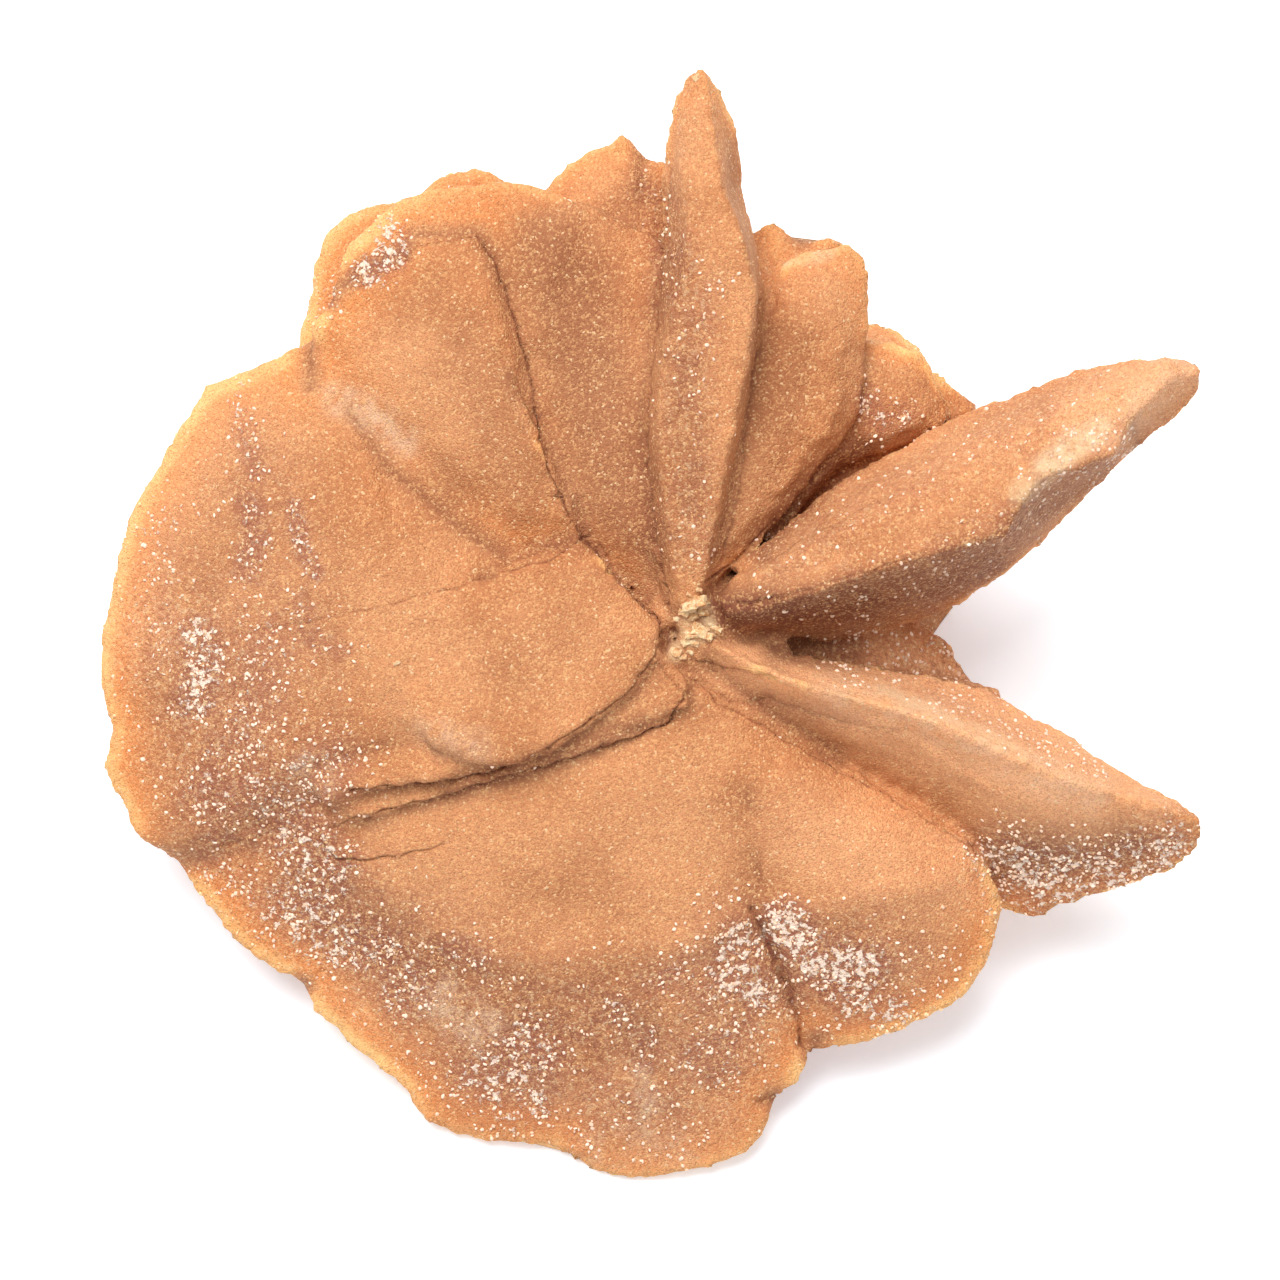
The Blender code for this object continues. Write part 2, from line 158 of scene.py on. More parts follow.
def weigh(obj: bpy.types.Object, name: str, weights: np.ndarray, steps: int = 32) -> None:
    """Makes or refills a vertex group.

    Args:
        obj: The mesh object.
        name: The group's name.
        weights: A weight for each vertex, from 0 to 1.
        steps: How many different weights are kept.
    """
    old = obj.vertex_groups.get(name)
    if old:
        obj.vertex_groups.remove(old)
    group = obj.vertex_groups.new(name=name)
    levels = np.round(np.clip(weights, 0, 1) * steps).astype(int)
    for level in range(1, steps + 1):
        chosen = np.flatnonzero(levels == level)
        if len(chosen):
            group.add(chosen.tolist(), level / steps, "REPLACE")


def paint(obj: bpy.types.Object, name: str, values: np.ndarray) -> None:
    """Stores a number for each vertex, for the materials to read.

    Args:
        obj: The mesh object.
        name: The attribute's name.
        values: A value for each vertex.
    """
    attribute = obj.data.attributes.new(name, "FLOAT", "POINT")
    attribute.data.foreach_set("value", values.astype(np.float32))


@dataclass(frozen=True)
class View:
    """The photograph's camera. It looks square onto the rose's face, which leans back from level."""

    lean: float = math.radians(20)
    meeting: tuple[float, float, float] = (2.998, -2.808, 22.0)
    meeting_pixel: Pixel = (690, 625)
    pixels_per_mm: float = 14.15
    picture: float = 1280
    distance: float = 450.0
    sensor: float = 36.0

    def axes(self) -> tuple[Vector, Vector, Vector]:
        """The camera's right, up and back directions."""
        right = Vector((1, 0, 0))
        up = Vector((0, math.cos(self.lean), math.sin(self.lean)))
        return right, up, right.cross(up)

    def place(self) -> Vector:
        """The camera's place in millimetres."""
        right, up, back = self.axes()
        across = (self.picture / 2 - self.meeting_pixel[0]) / self.pixels_per_mm
        rise = (self.meeting_pixel[1] - self.picture / 2) / self.pixels_per_mm
        return Vector(self.meeting) + right * across + up * rise + back * self.distance

    def build(self) -> bpy.types.Object:
        """Adds the camera.

        Returns:
            The camera object.
        """
        right, up, back = self.axes()
        turn = Matrix((right, up, back)).transposed().to_euler()
        bpy.ops.object.camera_add(location=self.place() * MM, rotation=turn)
        camera = bpy.context.object
        camera.name = "photo_camera"
        camera.data.sensor_width = self.sensor
        camera.data.lens = self.sensor * self.distance * self.pixels_per_mm / self.picture
        bpy.context.scene.camera = camera
        return camera

    def line_length(self, line: tuple[Pixel, ...]) -> float:
        """The length in millimetres of a line of pixels."""
        return float(np.linalg.norm(np.diff(np.array(line, float), axis=0), axis=1).sum()) / self.pixels_per_mm

    def pixels(self, spots: np.ndarray) -> np.ndarray:
        """Finds where points show in the photograph.

        Args:
            spots: The points in metres, one row each.

        Returns:
            Their pixels, one row each.
        """
        right, up, back = (np.array(axis) for axis in self.axes())
        sight = spots / MM - np.array(self.place())
        zoom = self.distance * self.pixels_per_mm / -(sight @ back)
        half = self.picture / 2
        return np.stack([half + (sight @ right) * zoom, half - (sight @ up) * zoom], axis=1)

    def line_of_sight(self, pixel: Pixel) -> Vector:
        """The direction in which the camera sees a pixel.

        Args:
            pixel: The pixel of the photograph.

        Returns:
            The direction, of length 1.
        """
        right, up, back = self.axes()
        across = (pixel[0] - self.picture / 2) / self.pixels_per_mm
        rise = (self.picture / 2 - pixel[1]) / self.pixels_per_mm
        return (right * across + up * rise - back * self.distance).normalized()

    def line_distance(
        self, pixels: np.ndarray, line: tuple[Pixel, ...]
    ) -> tuple[np.ndarray, np.ndarray, np.ndarray]:
        """Measures how far points are from a line on the face.

        Args:
            pixels: The points' pixels.
            line: The line's corners as pixels.

        Returns:
            Each point's distance in millimetres, how far along the line it is, from 0 to 1, and the side of the
            line that it is on, which is 1 on the right and -1 on the left of someone who walks along it.
        """
        corners = np.array(line, float)
        lengths = np.linalg.norm(np.diff(corners, axis=0), axis=1)
        starts = np.concatenate([[0.0], np.cumsum(lengths)])
        nearest = np.full(len(pixels), np.inf)
        along = np.zeros(len(pixels))
        side = np.ones(len(pixels))
        for start, end, length, before in zip(corners, corners[1:], lengths, starts):
            way, reach = end - start, pixels - start
            share = np.clip(reach @ way / length**2, 0, 1)
            away = np.linalg.norm(reach - share[:, None] * way, axis=1)
            closer = away < nearest
            nearest[closer] = away[closer]
            along[closer] = (before + share[closer] * length) / starts[-1]
            side[closer] = np.sign(way[0] * reach[closer, 1] - way[1] * reach[closer, 0])
        return nearest / self.pixels_per_mm, along, side


@dataclass(frozen=True)
class Mark:
    """A line on the face that is cut into the skin, or raised where its depth is negative.

    A step lifts the skin on the line's right and sinks it on its left.
    """

    line: tuple[Pixel, ...]
    width: float
    depth: float
    # How much painted shade darkens the skin along the line.
    shade: float = 0.0
    ends: tuple[float, float] = (1.0, 1.0)
    fine: bool = False
    step: float = 0.0


@dataclass(frozen=True)
class Patch:
    """A soft patch on the face, along a line of pixels and as wide as its reach on both sides."""

    line: tuple[Pixel, ...]
    reach: float
    strength: float


CRACKS = (
    Mark(
        ((589, 537), (575, 541), (548, 560), (521, 567), (494, 575), (454, 588), (420, 596), (387, 606), (320, 620)),
        0.08, 0.26, 1.0, (1.0, 0.3), True, -0.16,
    ),
    Mark(((320, 620), (270, 628), (230, 636), (190, 648)), 0.1, 0.14, 0.5, (0.7, 0.3), True),
    Mark(
        (
            (660, 622), (640, 603), (620, 585), (603, 560), (585, 540), (572, 520), (560, 497), (549, 470),
            (541, 440), (534, 405), (530, 375), (521, 345), (514, 318), (506, 294), (496, 264), (487, 250), (479, 236),
        ),
        0.1, 0.4, 1.0, (1.0, 0.6), True, -0.3,
    ),
    Mark(
        (
            (684, 700), (668, 721), (639, 735), (617, 743), (596, 749), (548, 765), (520, 773), (494, 781),
            (462, 790), (441, 797), (410, 804), (380, 812), (352, 818), (328, 828),
        ),
        0.09, 0.34, 1.0, (1.0, 0.5), True, 0.36,
    ),
    Mark(
        (
            (600, 545), (615, 575), (636, 600), (659, 621), (661, 642), (648, 667), (623, 697), (581, 726),
            (556, 742), (530, 757), (500, 769), (480, 774), (440, 781), (395, 785), (350, 792),
        ),
        0.13, 0.32, 0.9, (0.4, 1.0), True, 0.36,
    ),
    Mark(((659, 664), (674, 684), (687, 702)), 0.1, 0.1, 0.4, (0.6, 1.0), True, 0.3),
    Mark(
        ((318, 826), (324, 842), (336, 856), (360, 859), (390, 856), (420, 850), (450, 843)),
        0.1, 0.16, 0.25, (0.9, 0.5), True, -0.34,
    ),
    Mark(((212, 848), (240, 842), (262, 838)), 0.1, 0.16, 0.5, (0.4, 0.4), True),
    Mark(((775, 520), (752, 545), (735, 562), (707, 583)), 0.1, 0.3, 0.9, (0.6, 1.0), True),
    Mark(((648, 470), (652, 520), (661, 570), (668, 605)), 0.1, 0.24, 0.7, (0.4, 1.0), True, 0.2),
    Mark(
        ((752, 908), (756, 918), (762, 930), (768, 944), (773, 958), (780, 972), (786, 985), (794, 1008), (804, 1045)),
        0.16, 0.45, 1.0, (0.8, 0.9), True,
    ),
    Mark(
        (
            (321, 343), (326, 330), (339, 310), (356, 291), (389, 274), (405, 263), (413, 251), (422, 245),
            (461, 241), (479, 236),
        ),
        0.1, 0.16, 0.45, (0.5, 0.9), True, 0.42,
    ),
    Mark(
        ((695, 677), (714, 701), (760, 725), (833, 768), (888, 796), (942, 829), (977, 848)),
        0.12, 0.2, 0.8, (0.8, 0.5), True, 0.3,
    ),
    Mark(((718, 585), (760, 564), (807, 538), (855, 512), (886, 496)), 0.14, 0.2, 0.45, (0.9, 0.2), True, 0.3),
    Mark(((728, 606), (792, 593), (834, 580), (876, 569), (930, 549)), 0.14, 0.2, 0.5, (0.8, 0.3), True, -0.3),
    Mark(
        ((697, 680), (734, 704), (770, 702), (815, 716), (855, 727), (897, 730)), 0.16, 0.26, 0.6, (0.7, 0.3),
        True, 0.3,
    ),
    Mark(((691, 659), (733, 669), (781, 678)), 0.14, 0.2, 0.5, (0.8, 0.4), True, -0.3),
    Mark(((671, 170), (664, 240), (655, 330), (648, 400), (646, 470)), 0.1, 0.25, 0.7, (0.5, 0.9), True),
    Mark(((760, 300), (757, 350), (748, 420), (738, 500), (722, 560)), 0.1, 0.25, 0.7, (0.6, 0.8), True),
)

CREASES = (
    Mark(((752, 908), (762, 930), (773, 958), (786, 985), (794, 1008), (804, 1045)), 0.6, 0.4, 0.2, (0.5, 0.9)),
    Mark(((330, 352), (350, 385), (382, 422), (425, 460), (467, 495), (521, 536), (566, 549)), 1.3, 0.3, 0.2),
    Mark(((735, 845), (742, 870), (752, 905)), 0.6, 0.12, 0.2, (0.2, 0.8)),
    Mark(((758, 1104), (769, 1100), (780, 1096)), 0.4, 0.3, 0.1),
    Mark(((566, 1158), (580, 1163), (592, 1166)), 0.4, 0.3, 0.1),
    Mark(((560, 1150), (575, 1120), (560, 1085)), 1.2, 0.2, 0.0, (0.5, 0.1)),
    Mark(((668, 630), (674, 637), (671, 644)), 0.42, 0.9, 1.0),
    Mark(((820, 560), (870, 520), (930, 490), (1000, 470)), 1.1, 0.2, 0.12, (0.3, 0.3)),
    Mark(((760, 590), (830, 575), (900, 540), (960, 535)), 0.5, 0.22, 0.25, (0.3, 0.3)),
    Mark(((880, 470), (960, 430), (1040, 400)), 0.4, 0.12, 0.25, (0.3, 0.2)),
    Mark(((742, 655), (790, 672), (850, 694), (900, 722)), 0.3, 0.2, 0.3, (0.7, 0.2)),
    Mark(((765, 700), (800, 710), (838, 718), (872, 722)), 0.8, 0.12, 0.5, (0.9, 0.2)),
    Mark(((985, 660), (940, 665), (900, 655)), 0.7, 0.25, 0.2, (0.6, 0.2)),
    Mark(((830, 740), (900, 765), (960, 800)), 0.3, 0.14, 0.2, (0.5, 0.2)),
    Mark(((745, 560), (775, 480), (800, 400), (812, 330)), 0.4, 0.12, 0.2, (0.6, 0.2)),
)

RIDGES = (
    Mark(
        (
            (325, 822), (346, 861), (385, 897), (427, 927), (468, 953), (529, 960), (591, 956), (640, 950),
            (682, 946), (722, 926), (756, 907), (784, 914), (853, 902), (905, 890), (947, 878),
        ),
        1.3, -0.34,
    ),
    Mark(((568, 215), (560, 240), (550, 270), (540, 305), (535, 335)), 1.3, -0.32),
    Mark(((232, 400), (246, 450), (258, 500), (275, 560), (300, 620)), 0.7, -0.1),
    Mark(((285, 470), (298, 520), (312, 575), (330, 625)), 0.6, -0.12),
    Mark(((180, 470), (172, 540), (175, 600)), 0.9, -0.1),
    Mark(((400, 652), (396, 684), (408, 712), (441, 738), (470, 752)), 0.8, -0.3),
    Mark(((430, 1000), (470, 1010), (500, 1040), (560, 1075)), 1.6, -0.25),
    Mark(((640, 1075), (650, 1110), (660, 1140)), 0.8, -0.18),
    Mark(((980, 690), (1040, 735), (1100, 775)), 0.8, -0.2),
    Mark(((760, 575), (840, 540), (930, 520), (1005, 512)), 0.45, -0.16),
    Mark(((850, 500), (940, 455), (1030, 425)), 0.4, -0.1),
    Mark(((765, 668), (830, 705), (900, 735), (990, 790)), 0.35, -0.12),
)

WHITE_GRAINS = (
    Patch(((236, 392), (248, 447), (256, 470)), 1.3, 0.6),
    Patch(((250, 505), (256, 540), (246, 572)), 1.6, 0.65),
    Patch(((294, 505), (304, 554), (316, 574)), 1.0, 0.7),
    Patch(((197, 634), (208, 655), (196, 700)), 2.0, 0.9),
    Patch(((165, 520), (150, 585), (160, 640)), 2.4, 0.4),
    Patch(((265, 650), (250, 730), (235, 770)), 3.6, 0.55),
    Patch(((300, 600), (306, 636), (340, 650)), 1.3, 0.5),
    Patch(((215, 795), (285, 790), (325, 768)), 4.0, 0.62),
    Patch(((300, 838), (322, 868), (286, 908), (345, 940)), 3.6, 0.8),
    Patch(((214, 868), (246, 884)), 2.4, 0.5),
    Patch(((385, 950), (420, 985), (402, 1000)), 2.6, 0.7),
    Patch(((452, 946), (478, 958)), 1.6, 0.6),
    Patch(((480, 1080), (530, 1050), (520, 1110)), 3.8, 0.75),
    Patch(((410, 1050), (428, 1080)), 1.8, 0.4),
    Patch(((740, 940), (728, 975), (757, 990)), 2.4, 0.9),
    Patch(((784, 925), (806, 955), (830, 966), (866, 968)), 2.6, 1.0),
    Patch(((835, 990), (857, 1010), (891, 1011)), 2.2, 0.8),
    Patch(((740, 1034), (690, 1056), (728, 1078)), 2.0, 0.55),
    Patch(((612, 1006), (644, 1040), (644, 1062)), 1.6, 0.6),
    Patch(((655, 985), (672, 971)), 1.0, 0.6),
    Patch(((560, 1122), (640, 1112), (684, 1142)), 3.2, 0.42),
    Patch(((1002, 862), (1060, 882), (1120, 872), (1170, 852)), 3.2, 0.85),
    Patch(((930, 700), (1000, 722), (1090, 772)), 1.6, 0.35),
    Patch(((1040, 478), (1076, 442), (1112, 430)), 1.5, 0.6),
    Patch(((366, 272), (392, 258), (390, 232)), 1.7, 0.9),
    Patch(((318, 290), (330, 318)), 1.5, 0.5),
    Patch(((730, 925), (780, 965), (880, 985), (930, 975)), 4.6, 0.4),
    Patch(((700, 960), (720, 1010), (740, 1040)), 3.0, 0.45),
    Patch(((868, 400), (880, 425), (905, 415)), 1.6, 0.6),
    Patch(((850, 650), (900, 655), (950, 660)), 2.4, 0.5),
    Patch(((1000, 905), (1040, 915)), 2.0, 0.6),
    Patch(((720, 280), (700, 320), (690, 370)), 1.8, 0.3),
    Patch(((1020, 500), (1060, 480), (1120, 455)), 1.4, 0.35),
)

PALE_SMEARS = (
    Patch(((338, 399), (375, 415), (402, 440)), 1.5, 0.75),
    Patch(((442, 1000), (458, 1016), (480, 1026)), 1.9, 0.85),
    Patch(((430, 730), (452, 742), (480, 745)), 1.5, 0.5),
    Patch(((640, 1075), (650, 1110), (645, 1135)), 1.0, 0.5),
    Patch(((600, 1150), (640, 1140), (680, 1150)), 1.8, 0.35),
    Patch(((830, 690), (935, 720), (1010, 760), (1090, 795)), 1.8, 0.5),
    Patch(((1100, 440), (1150, 395), (1180, 370)), 1.4, 0.4),
    Patch(((300, 775), (312, 765), (322, 780)), 1.3, 0.5),
    Patch(((1045, 470), (1070, 445), (1100, 432)), 1.2, 0.9),
    Patch(((770, 270), (800, 262), (830, 255)), 0.6, 0.5),
)

# Rough mauve ground, which also paints shade on the shaded wedge faces, upright blade and gap plate.
ROUGH_AND_SHADED_GROUND = (
    Patch(((180, 640), (220, 740), (260, 850), (340, 920)), 7.0, 1.0),
    Patch(((250, 480), (290, 620), (300, 760)), 5.0, 0.5),
    Patch(((400, 960), (480, 1020), (600, 1040), (700, 1010)), 6.5, 1.0),
    Patch(((620, 1100), (700, 1080), (780, 980), (860, 960)), 5.0, 1.0),
    Patch(((1000, 860), (1080, 880), (1170, 850)), 4.0, 1.0),
    Patch(((830, 600), (900, 590), (960, 560), (1020, 520)), 3.4, 0.8),
    Patch(((780, 560), (880, 500), (1000, 440), (1100, 400)), 2.6, 0.7),
    Patch(((660, 200), (690, 320), (690, 440), (690, 540)), 2.6, 0.8),
    Patch(((850, 655), (960, 665)), 3.0, 0.9),
)

# Painted shade on faces turned from the light and in the nooks under and between blades.
PAINTED_SHADE = (
    Patch(((722, 612), (800, 612), (870, 600)), 2.2, 1.0),
    Patch(((850, 602), (930, 580), (985, 560)), 2.4, 0.8),
    Patch(((990, 552), (1030, 510), (1100, 472)), 1.5, 0.6),
    Patch(((555, 250), (580, 330), (600, 420), (630, 530)), 4.6, 0.5),
    Patch(((675, 260), (680, 380), (690, 500)), 2.0, 0.35),
    Patch(((790, 340), (770, 430), (735, 540)), 2.6, 0.25),
    Patch(((760, 545), (820, 480), (860, 450)), 1.6, 0.7),
    Patch(((780, 650), (850, 650)), 1.6, 0.6),
    Patch(((1000, 862), (1060, 850), (1130, 850)), 2.4, 0.45),
    Patch(((450, 792), (560, 755), (640, 722)), 1.0, 0.5),
    Patch(((640, 190), (610, 215)), 2.0, 0.35),
    Patch(((470, 340), (500, 420), (530, 500)), 2.6, 0.25),
    Patch(((320, 880), (400, 940), (520, 1010), (640, 1030)), 3.4, 0.3),
)

SUNLIT = (
    Patch(((760, 662), (850, 700), (960, 745), (1080, 805)), 3.4, 0.75),
    Patch(((850, 655), (950, 680), (1040, 725), (1150, 800)), 2.4, 0.6),
    Patch(((800, 830), (880, 870), (950, 870)), 4.2, 0.4),
    Patch(((1080, 415), (1180, 368)), 2.6, 0.7),
    Patch(((860, 500), (940, 460), (1020, 420)), 2.6, 0.25),
    Patch(((130, 600), (150, 480), (220, 370)), 5.0, 0.3),
)

# Places where the painted glow of the rims is weaker or gone.
RIMS_WITHOUT_GLOW = (
    Patch(((735, 590), (800, 530), (900, 450), (1000, 395), (1100, 370), (1190, 365)), 2.6, 0.8),
    Patch(((1205, 375), (1150, 430), (1080, 500), (960, 560)), 2.4, 0.7),
    Patch(((697, 80), (670, 200), (655, 330), (650, 470)), 1.4, 0.7),
    Patch(((735, 150), (758, 260), (750, 400)), 1.4, 0.7),
    Patch(((978, 850), (1000, 900), (990, 960), (940, 1010), (820, 1045)), 2.4, 0.25),
    Patch(((790, 645), (900, 665), (1000, 690), (1100, 750), (1190, 820)), 2.0, 0.6),
    Patch(((1195, 830), (1150, 880), (1040, 915)), 2.2, 0.6),
    Patch(((930, 620), (960, 660), (1000, 690)), 2.0, 0.8),
    Patch(((780, 230), (860, 250), (870, 330), (850, 400)), 2.4, 0.5),
    Patch(((300, 220), (330, 190), (480, 180), (560, 190), (620, 145), (660, 160)), 2.4, 0.45),
    Patch(((380, 1120), (560, 1160), (700, 1165), (780, 1100)), 2.4, 0.5),
)

HEALED = (
    Patch(((140, 862), (200, 845), (250, 830), (300, 815), (330, 805)), 2.2, 1.0),
    Patch(((324, 805), (330, 822)), 1.8, 1.0),
    Patch(((396, 655), (391, 700), (408, 730)), 1.5, 1.0),
)

CREAM_PLACES = (
    Patch(((674, 655), (690, 612), (702, 605), (712, 630), (690, 640)), 0.6, 0.6),
    Patch(((1020, 492), (1060, 458), (1104, 428)), 1.0, 0.5),
    Patch(((880, 690), (960, 722), (1020, 755)), 0.6, 0.3),
)


class Signal:
    """A socket in a node tree. Sums on it add the Math nodes that they stand for."""

    def __init__(self, bench: "Bench", socket: bpy.types.NodeSocket) -> None:
        """Wraps a socket of a bench's tree."""
        self.bench = bench
        self.socket = socket

    def _math(self, operation: str, *values: "Signal | float") -> "Signal":
        """Adds one Math node over the values."""
        node = self.bench.node("ShaderNodeMath", {"operation": operation}, dict(enumerate(values)))
        return Signal(self.bench, node.outputs[0])

    def __add__(self, other: "Signal | float") -> "Signal":
        """Self plus other."""
        return self._math("ADD", self, other)

    __radd__ = __add__

    def __sub__(self, other: "Signal | float") -> "Signal":
        """Self minus other."""
        return self._math("SUBTRACT", self, other)

    def __rsub__(self, other: float) -> "Signal":
        """Other minus self."""
        return self._math("SUBTRACT", other, self)

    def __mul__(self, other: "Signal | float") -> "Signal":
        """Self times other."""
        return self._math("MULTIPLY", self, other)

    __rmul__ = __mul__

    def rise(self, low: float, high: float) -> "Signal":
        """Rises softly from 0 at low to 1 at high.

        Args:
            low: Where the result is 0.
            high: Where the result is 1.

        Returns:
            The share.
        """
        inputs = {"Value": self, "From Min": low, "From Max": high}
        node = self.bench.node("ShaderNodeMapRange", {"interpolation_type": "SMOOTHSTEP"}, inputs)
        return Signal(self.bench, node.outputs["Result"])

    def shared(self) -> "Signal":
        """Keeps the value between 0 and 1."""
        node = self.bench.node("ShaderNodeClamp", inputs={"Value": self})
        return Signal(self.bench, node.outputs["Result"])


class Bench:
    """A node tree that nodes are added to."""

    def __init__(self, tree: bpy.types.NodeTree) -> None:
        """Starts on an emptied tree."""
        self.tree = tree
        tree.nodes.clear()

    def node(
        self,
        kind: str,
        settings: dict[str, object] | None = None,
        inputs: dict[str | int, "Signal | object"] | None = None,
    ) -> bpy.types.Node:
        """Adds a node.

        Args:
            kind: The node's type.
            settings: Its own values, set first.
            inputs: Values or links of its sockets, by name or number.

        Returns:
            The node.
        """
        node = self.tree.nodes.new(kind)
        for name, value in (settings or {}).items():
            setattr(node, name, value)
        for name, value in (inputs or {}).items():
            if isinstance(value, Signal):
                self.tree.links.new(value.socket, node.inputs[name])
            else:
                node.inputs[name].default_value = value
        return node

    def signal(self, kind: str, output: str | int, **parts: object) -> Signal:
        """Adds a node and wraps one of its outputs.

        Args:
            kind: The node's type.
            output: The output's name or number.
            parts: The settings and inputs, as for node.

        Returns:
            The output.
        """
        return Signal(self, self.node(kind, **parts).outputs[output])


class StoneBench(Bench):
    """The node tree of one stone material, with the textures that all of them use."""

    def __init__(self, name: str) -> None:
        """Starts a new material of that name."""
        self.material = bpy.data.materials.new(name)
        self.material.use_nodes = True
        super().__init__(self.material.node_tree)
        self.coordinates = self.signal("ShaderNodeTexCoord", "Object")

    def noise(self, size: float, detail: float = 2.0, roughness: float = 0.5) -> Signal:
        """Cloudy noise.

        Args:
            size: The size of its clouds in millimetres.
            detail: How many finer layers it has.
            roughness: How strong the finer layers are.

        Returns:
            A value about 0.5.
        """
        inputs = {"Vector": self.coordinates, "Scale": 1 / (size * MM), "Detail": detail, "Roughness": roughness}
        return self.signal("ShaderNodeTexNoise", "Fac", inputs=inputs)

    def cells(self, size: float) -> tuple[Signal, Signal]:
        """Sand grains packed side by side.

        Args:
            size: The size of a grain in millimetres.

        Returns:
            The distance from a grain's middle in grain sizes, and a value that differs from grain to grain.
        """
        inputs = {"Vector": self.coordinates, "Scale": 1 / (size * MM)}
        node = self.node("ShaderNodeTexVoronoi", inputs=inputs)
        split = self.node("ShaderNodeSeparateColor", inputs={"Color": Signal(self, node.outputs["Color"])})
        return Signal(self, node.outputs["Distance"]), Signal(self, split.outputs["Red"])

    def painted(self, name: str) -> Signal:
        """The value that the mesh stores under a name."""
        return self.signal("ShaderNodeAttribute", "Fac", settings={"attribute_name": name})

    def mix(self, share: Signal | float, first: Signal | Colour, second: Signal | Colour) -> Signal:
        """Mixes two colours.

        Args:
            share: How much of the second colour there is.
            first: The first colour.
            second: The second colour.

        Returns:
            The mixed colour.
        """
        inputs = {0: share, 6: first, 7: second}
        return self.signal("ShaderNodeMix", 2, settings={"data_type": "RGBA"}, inputs=inputs)

    def bump(self, height: Signal, depth: float, strength: float) -> Signal:
        """Turns a height into a normal.

        Args:
            height: The height, from 0 to 1.
            depth: What 1 stands for, in millimetres.
            strength: How much of it shows.

        Returns:
            The normal.
        """
        inputs = {"Strength": strength, "Distance": depth * MM, "Height": height}
        return self.signal("ShaderNodeBump", "Normal", inputs=inputs)

    def finish(self, **sockets: object) -> bpy.types.Material:
        """Adds the shader and the output.

        Args:
            sockets: The shader's inputs, with underscores for the spaces in their names.

        Returns:
            The material.
        """
        inputs = {name.replace("_", " "): value for name, value in sockets.items()}
        shader = self.signal("ShaderNodeBsdfPrincipled", "BSDF", inputs=inputs)
        self.node("ShaderNodeOutputMaterial", inputs={"Surface": shader})
        return self.material


